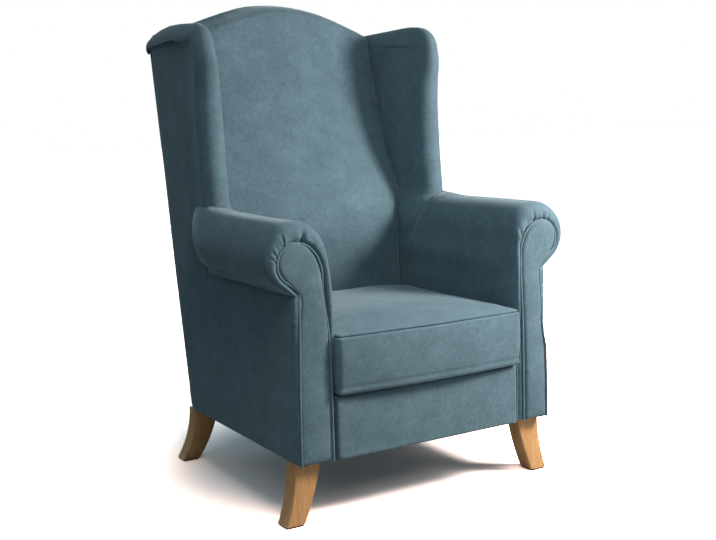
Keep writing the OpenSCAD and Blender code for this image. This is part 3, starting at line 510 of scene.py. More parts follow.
def arm_cover(side, pleats, seed):
    """Each section runs from the seat's side up over the roll and down to the crease. The first are
    tucked in behind the facing, the next turn round its edge, and the rest go along the arm. T is the
    angle round the roll in degrees, and R how far the cloth has run from the facing's edge."""
    n_in, n_arc = 44, 120
    f = np.linspace(0, 1, n_in, endpoint=False)
    ang = np.linspace(180, NECK_END, n_arc)
    a = np.radians(ang)
    arc = np.stack([ROLL_X + ROLL_R * np.cos(a), ROLL_Z + ROLL_R * np.sin(a)], 1)
    end = np.linspace(0, 1, 9)[1:, None]
    under = arc[-1] + (np.array([HALF_W + 1.0, CREASE_Z]) - arc[-1]) * end
    tuck = np.array([[HALF_W - 3.0, CREASE_Z - 1], [HALF_W - 10.0, CREASE_Z + 2]])
    facing_z = BODY_Z + f * (SHOULDER_Z - BODY_Z)
    head = facing_head(a)
    facing = np.vstack([
        np.stack([facing_in(side, facing_z), facing_z], 1), head,
        head[-1] + (np.array([FACING_OUT, CREASE_Z]) - head[-1]) * end,
        [[HALF_W - 13, CREASE_Z - 1], [HALF_W - 16, CREASE_Z + 2]]])
    turn = np.r_[180 + (1 - f) * 300, ang, NECK_END - 14 * end[:, 0], -75, -78]

    def section(low):
        z = low + f * (ROLL_Z - low)
        return np.vstack([np.stack([np.full(n_in, float(ARM_IN)), z], 1), arc, under, tuck])

    rows, run = [], []
    full = section(BODY_Z)
    wide = np.linalg.norm(full - facing, axis=1)
    deep = 17 + 20 * unit((wide - 13.5) / 14)
    deep[-6:] = 17
    # the tucked edge behind the facing's pad
    d = np.gradient(facing, axis=0)
    inward = np.stack([d[:, 1], -d[:, 0]], 1) / np.linalg.norm(d, axis=1, keepdims=True)
    for step, dy, at in ((11, 10.5, -20.0), (5, 10.0, -14.0), (0, 9.0, -9.0)):
        xz = facing + inward * step
        rows.append(np.stack([xz[:, 0], np.full(len(xz), BOARD_Y + dy), xz[:, 1]], 1))
        run.append(np.full(len(xz), at))
    # the rim, from the facing's edge out to the full roll
    for q in np.linspace(0, 1, 30):
        w = math.sin(q * math.pi / 2) ** 0.95
        b = 1 - math.cos(q * math.pi / 2) ** 0.85
        xz = facing + (full - facing) * w
        y = BOARD_Y + deep * b - np.minimum(3.0, wide * 0.1) * math.sin(math.pi * q) ** 0.8
        rows.append(np.stack([xz[:, 0], y, xz[:, 1]], 1))
        run.append(wide * w + deep * b)
    # along the arm to its end: at the back post inside, on the outside panel elsewhere
    hold = unit((ang - 100) / 24)
    roll_z = arc[:, 1]
    share = unit((roll_z - CREASE_Z) / ROLL_RISE)
    outer_end = FACE + ROLL_END + ROLL_ON * np.sin(np.pi / 2 * share) - 32 * unit((share - 0.75) / 0.25) ** 2
    ends = np.r_[post_y(full[:n_in, 1]), outer_end * (1 - hold) + post_y(roll_z) * hold,
                 np.full(len(under) + len(tuck), float(FACE + ROLL_END))]
    start = BOARD_Y + deep
    for s in np.linspace(0, 1, 96)[1:] ** 0.92:
        y = start + (ends - start) * s
        low = BODY_Z + 123 * min(1, max(0, (float(y[5]) - (BOARD_Y + 19)) / 12))
        xz = section(low)
        t = unit((y - (ends - 160)) / 160)
        x = np.where(xz[:, 0] > HALF_W, HALF_W + (xz[:, 0] - HALF_W) * np.maximum(1 - t * t, 0), xz[:, 0])
        z = xz[:, 1] + 10 * smooth((y - FACE - 290) / 150) * unit((xz[:, 1] - 560) / 70)
        rows.append(np.stack([x, y, z], 1))
        run.append(wide + deep + (y - start))
    P, R, T = np.array(rows), np.array(run), turn[None, :]
    Y, Z = P[..., 1] - FACE, P[..., 2]
    N = grid_normals(P, np.array([ROLL_X, FACE + 200, ROLL_Z]))
    D = waves(P, seed, 150, 0.9) * unit(R / 40)
    for at, depth, reach, lean, width in pleats:
        w = width + np.clip(R, 0, 200) * 0.05
        off = T - at - lean * np.clip(R, 0, 90) / 10
        fade = near(np.clip(R - 5, 0, None), reach) * unit((R + 2) / 3)
        D -= depth * fade * near(off, w)
        D += 0.5 * depth * fade * near(off - 2.2 * w, 1.5 * w)
        D += 0.35 * depth * fade * near(off + 2.3 * w, 1.7 * w)
    # a soft roll along the rim
    D += 1.1 * near(R - 30, 14) * unit((T + 40) / 30)
    # the seat-side face swells below the roll
    high = Z - 515
    swell = np.maximum(6 * near(high, 55 if side < 0 else 30),
                       6.5 * (high < 0) * (side < 0) * near(np.maximum(R - 45, 0), 45))
    swell *= unit((Z - 265) / 25)
    D += swell * unit((T - 150) / 40) * unit((R - 6) / 14)
    # a fold above the crease under the arm
    fold = unit((Y - 120) / 200) * unit((470 - Y) / 40)
    D -= 4.5 * fold * near(T + 44 + 6 * fold, 3.5)
    D += 1.5 * fold * near(T + 34, 8)
    # the cover is drawn in along the wing's foot
    foot = curve_at([486, 528, 574, 626, 652], [486, 460, 427, 402, 396], np.clip(Z, 486, 652))
    D -= 6 * near(Y - foot + 7, 9) * unit((T - 70) / 25) * unit((Z - 500) / 40)
    D[:, -2:] = 0
    P = P + N * D[..., None]
    seat_side = unit((T - 88) / 16)
    P[..., 1] += (3 + 3.5 * seat_side) * near(np.maximum(R, 0), 3.6 + 1.6 * seat_side) * (R > -5)
    # the folds stay clear of the board behind the facing
    P[..., 1] = np.where(R < 8, np.minimum(P[..., 1], BOARD_Y + 10.8), P[..., 1])
    # low down the rim lies back behind the facing's pad
    P[..., 1] += 11 * unit((390 - P[..., 2]) / 70) * (T > 180) * (R > -5) * near(np.maximum(R - 14, 0), 10)
    ob = mesh(f"{name_of(side)}_arm_cover", sided(P.reshape(-1, 3), side), grid_faces(*P.shape[:2]))
    finish_piece(ob, VELVET, replaces=[f"{name_of(side)}_arm_pad"])


# Wings. Where the cover ends on the outside: distance behind the body's front, and height
WING_SEAM = [(511, 652), (512.5, 684), (514.6, 715), (519.4, 780), (523, 866), (521, 940), (519.4, 979),
             (521, 996), (525, 1011.6), (531.5, 1024.5), (542.5, 1034.5), (561.7, 1041.4), (591, 1045.8),
             (668.5, 1043), (712, 1041), (757.1, 1039.2)]


def wing_cover(side, seed):
    def anchor(z, over=0.0):
        return post_y(z) + POST_D * over - FACE, z
    # each section's front or top edge (distance behind the body's front, height), angle of the way
    # inward, where the inner face ends, where the outside ends, depth of the roll, inner X, outer X,
    # rounding of the inner corner, overhang of the outside roll
    k = [
        ((486, 486), -36, anchor(500), (500, 500), 6, 250, 290, 0, 0),
        ((474, 506), -35, anchor(525), (505, 520), 8, 243, 300, 0, 0),
        ((460, 528), -33, anchor(548), (508, 540), 12, 241, 310, 0, 0),
        ((444, 551), -32, anchor(571), (510, 560), 17, 240.5, 320, 0, 0),
        ((427, 574), -30, anchor(594), (511, 580), 22, 241.5, 326, 0, 0),
        ((413, 600), -24, anchor(614), (511, 605), 27, 246.5, 330, 0, 0),
        ((402, 626), -14, anchor(634), (511, 630), 31, 257.5, 335, 0, 0),
        ((396.5, 652), -5, anchor(656), WING_SEAM[0], 33, 269, 338, 0, 0),
        ((397.5, 684), 0, anchor(686), WING_SEAM[1], 33, 272, 338, 0, 0),
        ((401.5, 715), 0, anchor(711), WING_SEAM[2], 33, 272, 338, 0, 0),
        ((408.2, 780), 0, anchor(781), WING_SEAM[3], 33, 272, 338, 0, 0),
        ((412.6, 866), 0, anchor(861), WING_SEAM[4], 33, 272, 338, 0.05, 0),
        ((410.7, 940), 0, anchor(926), WING_SEAM[5], 33, 272, 338, 0.30, 0),
        ((405.9, 987.7), 5, anchor(969), WING_SEAM[6], 33, 272, 338, 0.62, 0),
        ((411.0, 1020), 15, anchor(992), WING_SEAM[7], 33, 272, 338, 0.88, 0),
        ((420, 1047), 30, anchor(1007), WING_SEAM[8], 33, 272, 338, 1.0, 0),
        ((435.5, 1065), 51, anchor(1019), WING_SEAM[9], 33, 272, 338, 1.0, 0.1),
        ((459, 1077), 70, anchor(1028), WING_SEAM[10], 33, 272, 338, 0.95, 0.7),
        ((495.4, 1082), 83, anchor(1034), WING_SEAM[11], 33, 272, 338, 0.85, 1),
        ((543.3, 1083), 89, anchor(1034, 0.2), WING_SEAM[12], 33, 272, 338, 0.7, 1),
        ((639, 1080.4), 93, anchor(1034, 0.6), WING_SEAM[13], 33, 272, 336.5, 0.5, 1),
        ((700, 1078.6), 97, anchor(1034, 0.8), WING_SEAM[14], 33, 272, 335, 0.45, 1),
        ((764.2, 1076.5), 90 + RAKE_DEG, anchor(1034, 1), WING_SEAM[15], 33, 272, 333.5, 0.4, 1),
    ]
    rows = np.array([[*e, t, *a, *s, r, xi, xo, c, o] for e, t, a, s, r, xi, xo, c, o in k], float)
    S = catmull(rows, 200)
    S[:, 10:12] = np.clip(S[:, 10:12], 0, 1)
    # the rear end rolls over in a few more sections
    last = S[-1]
    tail = []
    lean = math.radians(RAKE_DEG)
    for q in np.radians(np.linspace(0, 90, 9)[1:]):
        c = 1 - math.cos(q)
        e = last.copy()
        back = np.array([math.cos(lean), -math.sin(lean)]) * 17 * math.sin(q)
        down = np.array([-math.sin(lean), -math.cos(lean)]) * 15 * c
        e[0:2] += back + down
        e[3:5] += back
        e[5:7] += back
        e[8] = TIMBER_IN + 8 * c
        e[9] -= 9 * c
        tail.append(e)
    S = np.vstack([S, tail])
    roll = np.radians(np.linspace(180, 0, 34))
    P, fade = [], []
    for r in S:
        edge, turn, anc, seam = r[0:2], math.radians(r[2]), r[3:5], r[5:7]
        deep, xi, xo, rnd, hang = r[7:12]
        way = np.array([math.cos(turn), -math.sin(turn)])
        soft = smooth(unit((r[1] - 600) / 70) * unit((1075 - r[1]) / 110))
        back = edge + way * (deep + 4 * soft)
        deep_in = min(deep + 12 * soft + 20 * rnd, 0.88 * float(np.linalg.norm(anc - edge)))
        back_in = edge + way * deep_in
        rim = unit((550 - r[0]) / 90) if r[1] > 1000 else 1.0
        inset = 15 * rnd * rim
        row, keep = [], []
        for s in np.linspace(1, 0, 24, endpoint=False):
            q = back_in + (anc - back_in) * s
            crown = 3.2 * rim * math.sin(math.pi * s) ** 1.3
            row.append((xi - crown + inset * (1 - s) ** 2.5, *q))
            keep.append(1)
        mid = (xi + xo) / 2 + 4 * rnd
        for a in roll:
            c = math.cos(a)
            depth = deep_in if c < 0 else deep + 4 * soft
            q = edge + way * depth * (1 - math.sin(a))
            half = (mid - xi - inset) if c < 0 else (xo - mid)
            row.append((mid + half * c, *q))
            keep.append(1)
        for s in np.r_[np.linspace(0, 0.7, 10)[1:], np.linspace(0.74, 1, 8)]:
            q = back + (seam - back) * s
            easy = HALF_W + (xo - HALF_W) * (1 - s) ** 2
            round_in = xo - 9.5 * (1 - math.sqrt(max(0, 1 - max(0, (s - 0.72) / 0.28) ** 2)))
            row.append((easy * (1 - hang) + round_in * hang, *q))
            keep.append(1 - s * (1 - hang))
        way_on = (seam - back) / np.linalg.norm(seam - back)
        for far, drop in ((6, 0.4), (16, 1.6), (30, 4.5)):
            row.append((HALF_W - drop - hang * 8, *(seam + way_on * far * (1 - hang))))
            keep.append(0)
        P.append(row)
        fade.append(keep)
    P = np.array(P)
    # the tops of the two wings aren't quite alike: the left one is fuller towards the rear
    at, up = ([500, 545, 590, 640, 691, 737, 765, 785], [0, 3, 6.5, 8.5, 6, 0, -7, -10]) if side < 0 \
        else ([640, 765, 785], [0, 0, -4])
    P[..., 2] += np.interp(P[..., 1], at, up) * unit((P[..., 2] - 1036) / 34)
    P[..., 1] += FACE
    N = grid_normals(P, np.array([305, FACE + 560, 860.0]))
    D = waves(P, seed, 160, 0.7) + waves(P, seed + 9, 45, 0.15)
    D *= np.clip((P[..., 2] - 560) / 60, 0.15, 1) * (1 - 0.6 * unit((P[..., 2] - 1000) / 50)) * np.array(fade)
    P = P + N * D[..., None]
    # the rear end is closed by a fan
    n_v, n_u = P.shape[:2]
    verts = np.vstack([P.reshape(-1, 3), P[-1].mean(0)])
    last_row = (n_v - 1) * n_u
    faces = grid_faces(n_v, n_u) + [(last_row + i, last_row + i + 1, n_v * n_u) for i in range(n_u - 1)]
    ob = mesh(f"{name_of(side)}_wing_cover", sided(verts, side), faces)
    finish_piece(ob, VELVET, replaces=[f"{name_of(side)}_wing_pad"])


# Outside panels
def side_cover(side, seed):
    # under the wing cover the panel runs on past the seam, so that no edge shows
    under = [(d - 24, z) for d, z in WING_SEAM[:8]] + [(507, 1022), (520, 1034), (535, 1043), (560, 1049)] \
        + [(d, z + 8) for d, z in WING_SEAM[12:]]
    roll = [(ROLL_END + ROLL_ON * math.sin(math.pi / 2 * s), CREASE_Z + ROLL_RISE * s)
            for s in np.linspace(0, 0.97, 9)]
    rear = [(panel_y(z) - FACE, z) for z in (900, 700, 500, 300, BODY_Z)]
    front_d = 6.5
    poly = np.array([(front_d, BODY_Z), (front_d, CREASE_Z - 1)] + roll + under + rear, float)

    def place(v, h):
        return sided(np.stack([TIMBER_OUT + h, v[:, 0] + FACE, v[:, 1]], 1), side)

    def shape(v, d):
        free = unit((d - 34) / 50) * unit((v[:, 1] - BODY_Z) / 40)
        rear_d = panel_y(v[:, 1]) - FACE
        corner = unit((v[:, 0] - rear_d + 34) / 34) * np.clip((v[:, 1] - 300) / 700, 0.25, 1)
        front = flare(side, v[:, 1]) * near(v[:, 0] - front_d, 45)
        return (flat_waves(v, seed, 190, 0.9) - 0.4) * free - 9 * corner ** 2 + front
    ob = panel(f"{name_of(side)}_outside_cover", poly[::-1], place, 22.0, 5.0, 12.0, shape)
    finish_piece(ob, VELVET, replaces=[f"{name_of(side)}_side_panel"])


def outside_back():
    top = [(x, float(arch_z(x))) for x in np.linspace(TIMBER_IN, -TIMBER_IN, 41)]
    # the left wing dips at its rear end, so that corner is lower
    poly = [(-322, BODY_Z), (322, BODY_Z), (322, 1070.0), (312, 1076.0)] + top \
        + [(-309, 1075.5), (-317, 1066.0), (-322, 1058.0)]

    def place(v, h):
        return np.stack([v[:, 0], panel_y(v[:, 1]) + h, v[:, 1]], 1)

    def shape(v, d):
        return (flat_waves(v, 31, 260, 1.0) - 1.0) * unit(d / 40)
    ob = panel("outside_back_cover", poly, place, 21.5, 13.0, 15.0, shape)
    finish_piece(ob, VELVET, replaces=["outside_back_panel"])


def rail_cover():
    half = 239
    poly = [(-half, BODY_Z), (half, BODY_Z), (half, DECK_Z - 1), (-half, DECK_Z - 1)]

    def place(v, h):
        return np.stack([v[:, 0], RAIL_Y - h, v[:, 1]], 1)

    def shape(v, d):
        return flat_waves(v, 41, 150, 0.6) * unit(d / 25) + 0.8 * near(v[:, 1] - BODY_Z - 4, 5)
    ob = panel("front_rail_pad", poly, place, 33.5, 4.5, 8.0, shape)
    finish_piece(ob, VELVET, replaces=["front_rail_cover"])


# The back: how far its front swells, by the share of its height, and the sizes of its upper edge
SWELL_AT = [0.00, 0.07, 0.14, 0.21, 0.27, 0.33, 0.38, 0.42, 0.47, 0.53, 0.60, 0.68, 0.76, 0.84, 0.90]
SWELL = [0.30, 0.50, 0.66, 0.79, 0.89, 0.99, 0.98, 0.90, 0.72, 0.47, 0.26, 0.14, 0.08, 0.03, 0.00]
SWELL_DEPTH, BACK_DEPTH, TOP_ROUND = 86, 120, 34


def back_cover():
    c = np.linspace(-1, 1, 111)
    cols = np.sign(c) * (1 - (1 - np.abs(c)) ** 1.35)
    heights = np.linspace(0, SWELL_AT[-1], 84)
    swell = SWELL_DEPTH * curve_at(SWELL_AT, SWELL, heights)
    over = np.radians(np.linspace(0, 90, 22)[1:])
    P = []
    for j in range(len(heights) + len(over)):
        row = []
        for t in cols:
            top = float(arch_z(t * TIMBER_IN))
            low = top - TOP_ROUND
            crown = 26 * (1 - abs(t) ** 2.4)
            if j < len(heights):
                z = DECK_Z + (low - DECK_Z) * heights[j] / SWELL_AT[-1]
                y = back_y(z) - BACK_DEPTH - swell[j] - crown * smooth((heights[j] - 0.16) / 0.17)
            else:
                a = over[j - len(heights)]
                lip = back_y(low) - BACK_DEPTH - crown
                z = low + TOP_ROUND * math.sin(a)
                y = lip + (panel_y(top) - lip) * (1 - math.cos(a))
            # the edges are rounded off between the arms, and then between the wings
            half = ARM_IN + (TIMBER_IN - ARM_IN) * unit((z - 606) / 50) + 0.6
            above_arms = unit((z - 620) / 80)
            e = half * (1 - abs(t))
            R = 26 + 6 * above_arms - 22 * unit((z - 960) / 100)
            if e < R:
                y += min(R, 22 - 7 * above_arms) * (1 - math.sqrt(max(0, 1 - (1 - e / R) ** 2)))
            row.append((t * half, y, z))
        skirts = [[(x, min(y + dy, post_y(z) + 40), z) for dy in (12, 30, 60)] for x, y, z in (row[0], row[-1])]
        P.append(skirts[0][::-1] + row + skirts[1])
    P = np.array(P)
    N = grid_normals(P, np.array([0, FACE + 700, 700.0]))
    D = waves(P, 51, 170, 1.3) + waves(P, 52, 60, 0.25)
    # pull lines rising from the lower corners
    for side in (-1, 1):
        x, z = P[..., 0] * side, P[..., 2]
        D -= 1.5 * near((x - 236) * 0.45 + (z - 470), 11) * near(x - 215, 60)
        D -= 1.1 * near((x - 236) * 0.9 + (z - 520), 13) * near(x - 215, 50)
    D[:, :3] = D[:, -3:] = 0
    P = P + N * D[..., None]
    ob = mesh("back_cover", P.reshape(-1, 3), grid_faces(*P.shape[:2]))
    finish_piece(ob, VELVET, replaces=["back_pad"])


# The loose cushion: its rounded upper face as shares of the outline, and rises above the seam
CROWN = [(1.000, 0.0), (0.9995, 0.7), (0.999, 1.4), (0.998, 2.2), (0.995, 3.1), (0.990, 3.9), (0.978, 4.9),
         (0.962, 5.7), (0.94, 7.5), (0.91, 9.6), (0.87, 12.0), (0.82, 14.6), (0.75, 17.4), (0.66, 20.2),
         (0.55, 22.5), (0.43, 24.0), (0.30, 25.0), (0.16, 25.4)]
MAX_PUFF = 0.007    # the furthest that a point may move in the simulation, in metres


def cushion_line(inset, n=46, r=9.0):
    """The cushion's outline, set in by inset, with n points a side and corners of radius r."""
    half, y0, y1 = ARM_IN - 3 - inset, CUSHION_Y - 3 + inset, CUSHION_Y + CUSHION_D - inset
    t = np.linspace(-1, 1, n)
    bow = 1 - t * t
    along = y0 + r + (y1 - y0 - 2 * r) * (t + 1) / 2
    front = np.stack([t * (half - r), y0 - 9.5 * bow], 1)
    right = np.stack([half - 5 * bow, along], 1)
    rear = np.stack([-t * (half - r), np.full(n, y1)], 1)
    left = np.stack([-half + 5 * bow, y1 + y0 - along], 1)
    c = np.radians(np.linspace(0, 90, 12)[1:-1])

    def corner(x, y, start):
        return np.stack([x + r * np.cos(np.radians(start) + c), y + r * np.sin(np.radians(start) + c)], 1)
    return np.vstack([front, corner(half - r, y0 + r, -90), right, corner(half - r, y1 - r, 0), rear,
                      corner(-half + r, y1 - r, 90), left, corner(-half + r, y0 + r, 180)])


def cushion():
    mid_y = CUSHION_Y + CUSHION_D / 2
    low, top = CUSHION_Z + 1.0, SEAM_Z - 3
    seam, belly, soft = cushion_line(3.0), cushion_line(0.0), cushion_line(3.0, r=130.0)
    n = len(seam)
    rows = []

    def ring(line, share, z):
        x, y = line[:, 0] * share, mid_y + (line[:, 1] - mid_y) * share
        rows.append(np.stack([x, y, np.full(n, float(z))], 1))
    # the flat underside, its rounded edge, the border, and the crowned top
    for share in (0.25, 0.5, 0.7, 0.85, 0.94):
        ring(belly, share, low)
    for a in np.radians(np.linspace(0, 90, 8)):
        ring(belly, 1 - 0.03 * (1 - math.sin(a)) - 0.003, low + 6 * (1 - math.cos(a)))
    for z in [*np.linspace(low + 6, top - 9, 24)[1:], *(top - d for d in (6.5, 4.6, 3.2, 2.2, 1.3, 0.6, 0))]:
        q = (z - low - 6) / (top - low - 6)
        ring(seam + (belly - seam) * (0.35 + 0.65 * math.sin(math.pi * (0.08 + 0.84 * q))), 1.0, z)
    seam_row = len(rows)
    for share, up in CROWN:
        ring(soft + (seam - soft) * share ** 5, share, top + up + 3 * min(1, up / 9))
    m = len(rows)
    verts = np.vstack(rows + [[0, mid_y, low], [0, mid_y, SEAM_Z + 25.5]])
    faces = grid_faces(m, n, True)
    faces += [(m * n, (i + 1) % n, i) for i in range(n)]
    faces += [(m * n + 1, (m - 1) * n + i, (m - 1) * n + (i + 1) % n) for i in range(n)]
    ob = mesh("cushion_cover", verts, faces)
    rest = np.array([v.co[:] for v in ob.data.vertices])
    held = [*range(seam_row * n, (seam_row + 1) * n), *range(5 * n, 9 * n), m * n]
    move = inflate(ob, held, 4.0, 14) - rest
    move *= np.minimum(1, MAX_PUFF / np.maximum(np.linalg.norm(move, axis=1, keepdims=True), 1e-9))
    # outward and upward alone, so that the foam never shows
    flat = rest[:, :2] - np.array([0, mid_y / 1000])
    flat /= np.maximum(np.linalg.norm(flat, axis=1, keepdims=True), 1e-6)
    move[:, :2] -= flat * np.minimum(0, (move[:, :2] * flat).sum(1, keepdims=True))
    crown = rest[:, 2] > top / 1000
    move[crown, 2] = np.maximum(0, move[crown, 2])
    move[rest[:, 2] < (low + 2) / 1000] = 0
    rings = move[:m * n].reshape(m, n, 3)
    for _ in range(40):
        rings += 0.25 * (np.roll(rings, 1, 1) + np.roll(rings, -1, 1) - 2 * rings)
    rest = rest + move
    # the seam's groove, the small gathers beside it, and the hem line at the bottom fold
    P = rest * 1000
    out = P - np.array([0, mid_y, 0])
    out[:, 2] = 0
    far = np.maximum(np.linalg.norm(out, axis=1, keepdims=True), 1e-6)
    out /= far
    z = P[:, 2]
    border = far[:, 0] > 190
    along = np.arctan2(P[:, 1] - mid_y, P[:, 0]) * 235
    gathers = np.sin(along / 5.3) + np.sin(along / 3.1 + 1) + np.sin(along / 8.7 + 2)
    D = 0.9 * near(np.abs(z - top) - 4.5, 2.2) - 4.2 * near(z - top, 1.5) + 0.22 * gathers * near(z - top, 6)
    D += waves(P, 61, 120, 0.9) * unit((z - CUSHION_Z - 8) / 25)
    up = unit((z - SEAM_Z - 6) / 14)
    hem = 2.0 * near(z - (CUSHION_Z + 10), 2.6) - 2.6 * near(z - (CUSHION_Z + 16.5), 2.4)
    P += out * ((D * (1 - up) + hem) * border)[:, None]
    P[:, 2] += D * up
    ob.data.vertices.foreach_set("co", (P * 0.001).ravel())
    ob.data.update()
    finish_piece(ob, VELVET, "seat_cushion",
                 ["cushion_top_panel", "cushion_border", "cushion_bottom_panel"])


def inflate(ob, pinned, pressure, steps):
    """Where the points of ob go as its cloth swells, with the pinned ones held."""
    group = ob.vertex_groups.new(name="held")
    group.add(pinned, 1.0, "REPLACE")
    mod = ob.modifiers.new("cloth", "CLOTH")
    c = mod.settings
    c.quality = 5
    c.mass = 0.3
    c.tension_stiffness = c.compression_stiffness = 18
    c.shear_stiffness = 8
    c.bending_stiffness = 2
    c.use_pressure = True
    c.uniform_pressure_force = pressure
    c.vertex_group_mass = "held"
    c.effector_weights.gravity = 0
    mod.collision_settings.use_collision = False
    mod.point_cache.frame_start, mod.point_cache.frame_end = 1, steps
    for f in range(1, steps + 1):
        scene.frame_set(f)
    co = np.zeros(len(ob.data.vertices) * 3, np.float32)
    ob.evaluated_get(bpy.context.evaluated_depsgraph_get()).data.vertices.foreach_get("co", co)
    ob.modifiers.remove(mod)
    ob.vertex_groups.remove(group)
    scene.frame_set(1)
    return co.reshape(-1, 3).astype(float)


# Legs
LEG_DEPTH = 44


def leg(name, side, y0, splay):
    """A square leg from the body to its glide, curving outwards and by splay to the rear."""
    t = np.linspace(0, 1, 40)
    z = BODY_Z + (4 - BODY_Z) * t
    outer = 327 + 25 * t ** 2
    inner = 267 + 40 * t ** 1.4
    front = y0 + splay * t ** 2
    rear = front + LEG_DEPTH
    r, quarter = 3.2, np.radians(np.linspace(0, 90, 5))
    rows = []
    for j in range(len(t)):
        right, left, back, near_y = outer[j] - r, inner[j] + r, rear[j] - r, front[j] + r
        corners = ((right, back), (left, back), (left, near_y), (right, near_y))
        rows.append([(x + r * math.cos(math.pi / 2 * i + a), y + r * math.sin(math.pi / 2 * i + a), z[j])
                     for i, (x, y) in enumerate(corners) for a in quarter])
    # the foot's small chamfer
    foot = np.array(rows[-1])
    mid = foot.mean(0)
    rows.append(mid + (foot - mid) * np.array([0.96, 0.96, 1]))
    P = np.array(rows)
    P[-2, :, 2] += 1.5
    n_v, n_u = P.shape[:2]
    faces = grid_faces(n_v, n_u, True) + [tuple(range(n_u)), tuple(range((n_v - 1) * n_u, n_v * n_u))]
    ob = mesh(f"{name}_wood", sided(P.reshape(-1, 3), side), faces)
    ob.modifiers.new("edges", "EDGE_SPLIT").split_angle = math.radians(40)
    finish_piece(ob, BEECH, replaces=[name])


# Deck under the cushion, dust cover and zip
def seat_deck():
    half, rear, low = 241, 213.0, 255
    poly = [(-half, RAIL_Y), (half, RAIL_Y), (half, rear), (-half, rear)]

    def place(v, h):
        return np.stack([v[:, 0], v[:, 1], low + h], 1)

    def shape(v, d):
        # quilting lines, 120 apart
        sewn = near(((v[:, 0] + 240) % 120) - 60, 3) + near(((v[:, 1] + 400) % 120) - 60, 3)
        return -1.6 * np.minimum(sewn, 1) + flat_waves(v, 71, 90, 0.5) - 0.8
    ob = panel("deck_pad", poly, place, 21.5, 7.0, 7.0, shape)
    finish_piece(ob, DECK, replaces=["seat_deck"])


def dust_cover():
    n = 60
    lo, hi = (np.array(v) * 1000 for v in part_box("dust_cover"))
    x, y = np.meshgrid(*(np.linspace(lo[i] + 0.5, hi[i] - 0.5, n) for i in (0, 1)))
    u, v = (x - lo[0]) / (hi[0] - lo[0]), (y - lo[1]) / (hi[1] - lo[1])
    sag = 2.2 * (np.sin(np.pi * u) * np.sin(np.pi * v)) ** 0.6
    tacks = 0.3 * (np.sin(u * n) * near(v, 0.03) + np.sin(v * n) * near(u, 0.03))
    P = np.stack([x, y, hi[2] - 0.9 - sag + tacks], -1)
    ob = mesh("dust_cloth_sheet", P.reshape(-1, 3), grid_faces(n, n), False)
    finish_piece(ob, DUST, replaces=["dust_cover"])


def zip_fastener():
    lo, hi = (np.array(v) * 1000 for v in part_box("cushion_zip"))
    y, mid = lo[1], (lo[2] + hi[2]) / 2
    x = np.linspace(lo[0], hi[0], 121)
    z = np.array([lo[2], lo[2] + 1, lo[2] + 8, lo[2] + 12.2, hi[2] - 12.2, hi[2] - 8, hi[2] - 1, hi[2]])
    out = np.array([0.0, 0.7, 0.9, 1.2, 1.2, 0.9, 0.7, 0.0])
    P = np.array([[(a, y + 0.2 + o + 0.15 * math.sin(a / 9), b) for a in x] for b, o in zip(z, out)])
    tape = mesh("zip_tape", P.reshape(-1, 3), grid_faces(len(z), len(x)))
    finish_piece(tape, ZIP, "seat_cushion", ["cushion_zip"])
    pitch = 1.6
    t = np.arange(0, (hi[0] - lo[0] - 12) / pitch * 2 * np.pi, 0.7)
    coil = np.stack([lo[0] + 6 + t / (2 * np.pi) * pitch, y + 1.3 + 0.5 * np.sin(t), mid + 1.9 * np.cos(t)], 1)
    finish_piece(mesh("zip_coil", *tube(coil, 0.35, 5)), NYLON, "seat_cushion")
    # the slider's pull, an 18 by 6 tab with a narrower end
    pull = bmesh.new()
    bmesh.ops.create_cube(pull, size=1)
    for v in pull.verts:
        taper = 0.75 if v.co.x < 0 else 1
        v.co = Vector((hi[0] - 14 + v.co.x * 18, y + 1.4 + v.co.y * 1.1, mid + v.co.z * 6 * taper)) * 0.001
    bmesh.ops.bevel(pull, geom=pull.edges[:], offset=0.0004, segments=2, affect="EDGES")
    me = bpy.data.meshes.new("zip_pull")
    pull.to_mesh(me)
    pull.free()
    finish_piece(link("zip_pull", me), ZINC, "seat_cushion")


# Pleats round the arm fronts: angle, depth, reach, lean and half width in degrees
PLEATS = {
    -1: [(57, 3.4, 20, 0.2, 1.8), (102, 5.6, 24, 0.5, 3.4), (22, 2.4, 13, 0.0, 2.2), (9, 2.0, 12, 0.0, 2.0),
         (36, 1.3, 12, 0.0, 2.0), (126, 1.4, 18, 0.4, 3.0)],
    1: [(152, 3.6, 22, 0.5, 2.6), (108, 3.8, 20, 0.2, 2.2), (84, 3.0, 15, 0.0, 2.8), (66, 2.6, 16, -0.3, 2.2),
        (128, 1.5, 16, 0.2, 2.4), (30, 1.4, 14, 0.0, 2.0)],
}
for side in (-1, 1):
    arm_facing(side, 11 + side)
    facing_piping(side)
    arm_cover(side, PLEATS[side], 21 + side)
    wing_cover(side, 24 + side)
    side_cover(side, 27 + side)
outside_back()
rail_cover()
back_cover()
cushion()
seat_deck()
dust_cover()
zip_fastener()
for end, y0, splay in (("front", FACE + 31, 0), ("rear", back_y(BODY_Z) - LEG_DEPTH, 33)):
    for side in (-1, 1):
        leg(f"{end}_{name_of(side)}_leg", side, y0, splay)

# The CAD nodes that nothing replaces are timber, apart from these
NODE_LOOKS = {"seat_springs": STEEL, "spring_clips": STEEL, "leg_bolts": ZINC, "leg_inserts": ZINC,
              "leg_glides": GLIDE, "back_webbing": WEBBING, "cushion_foam": FOAM}
for key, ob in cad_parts.items():
    for slot in ob.material_slots:
        slot.material = NODE_LOOKS.get(key, TIMBER)


# Floor, light and background. The camera sees the floor as these greys, near the chair and far off;
# the near one is darker, a painted shade round the chair's foot that deepens its shadow. SKY is the tint
# of the light from all round, which each grey takes off again by its own share.
SHADED_NEAR_FLOOR, FAR_FLOOR = (2.3, 0.22), (13.0, 0.8)
SKY = (0.60, 0.94, 1.13)


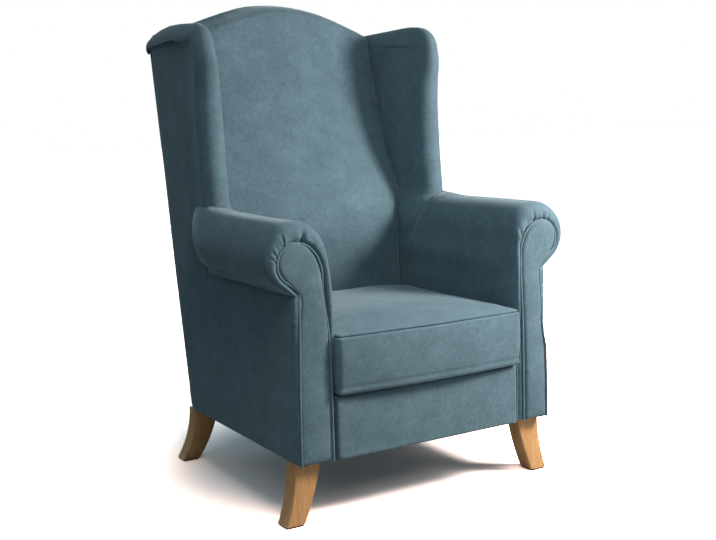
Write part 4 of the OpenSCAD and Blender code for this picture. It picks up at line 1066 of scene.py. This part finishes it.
def lamp(name, kind, place, target, energy, size, colour=(1, 1, 1)):
    d = bpy.data.lights.new(name, kind)
    d.energy = energy
    d.color = colour
    if kind == "SUN":
        d.angle = math.radians(size)
    else:
        d.shape = "DISK"
        d.size = size
    ob = link(name, d)
    ob.location = place
    ob.rotation_euler = (Vector(target) - Vector(place)).to_track_quat("-Z", "Y").to_euler()


def stage():
    me = bpy.data.meshes.new("floor")
    half = 30
    me.from_pydata([(-half, -half, 0), (half, -half, 0), (half, half, 0), (-half, half, 0)], [], [(0, 1, 2, 3)])
    floor = link("floor", me)
    m, nt, p = material("floor", 0.9, Specular_IOR_Level=0.1)
    me.materials.append(m)
    # paler for the camera than for the light it throws back, and less pale close to the chair: a painted shade
    away = add(nt, "VectorMath", {0: coords(nt)}, operation="LENGTH").outputs["Value"]
    far = add(nt, "MapRange", {"Value": away, "From Min": 0.30, "From Max": 0.75},
              interpolation_type="SMOOTHSTEP").outputs["Result"]
    painted_shade_tone, far_tone = ((*(value / c ** share for c in SKY), 1) for value, share in (SHADED_NEAR_FLOOR, FAR_FLOOR))
    pale = mix(nt, "MIX", far, painted_shade_tone, far_tone)
    camera_ray = add(nt, "LightPath", {}).outputs["Is Camera Ray"]
    nt.links.new(mix(nt, "MIX", camera_ray, (*grey(0.35), 1), pale), p.inputs["Base Color"])

    # plain white for the camera and in reflections, a weak bluish sky for the chair
    world = bpy.data.worlds.new("studio")
    scene.world = world
    world.use_nodes = True
    nt = world.node_tree
    rays = add(nt, "LightPath", {}).outputs
    seen = add(nt, "Math", {0: rays["Is Camera Ray"], 1: rays["Is Glossy Ray"]}, operation="MAXIMUM")
    seen = add(nt, "Math", {0: seen.outputs[0], 1: rays["Is Transmission Ray"]}, operation="MAXIMUM").outputs[0]
    strength = add(nt, "MapRange", {"Value": seen, "To Min": 0.12, "To Max": 1.0}).outputs["Result"]
    background = nt.nodes["Background"].inputs
    nt.links.new(mix(nt, "MIX", seen, (*SKY, 1), (*grey(1), 1)), background["Color"])
    nt.links.new(strength, background["Strength"])

    lamp("key", "AREA", (1.0, -1.12, 1.2), (0.1, -0.1, 0.5), 28, 0.4, (1.0, 0.91, 0.87))
    lamp("side", "AREA", (0.8, -1.0, 0.75), (0.3, -0.39, 0.4), 2.6, 0.4, (1.0, 0.92, 0.88))
    lamp("window", "AREA", (-0.5, -1.6, 2.2), (0, 0, 0.6), 12, 0.9, (1.0, 0.95, 0.92))
    lamp("fill", "SUN", (-1.25, -1.2, 1.6), (0, 0, 0), 0.08, 40)
    scene.view_settings.view_transform = "Standard"


stage()
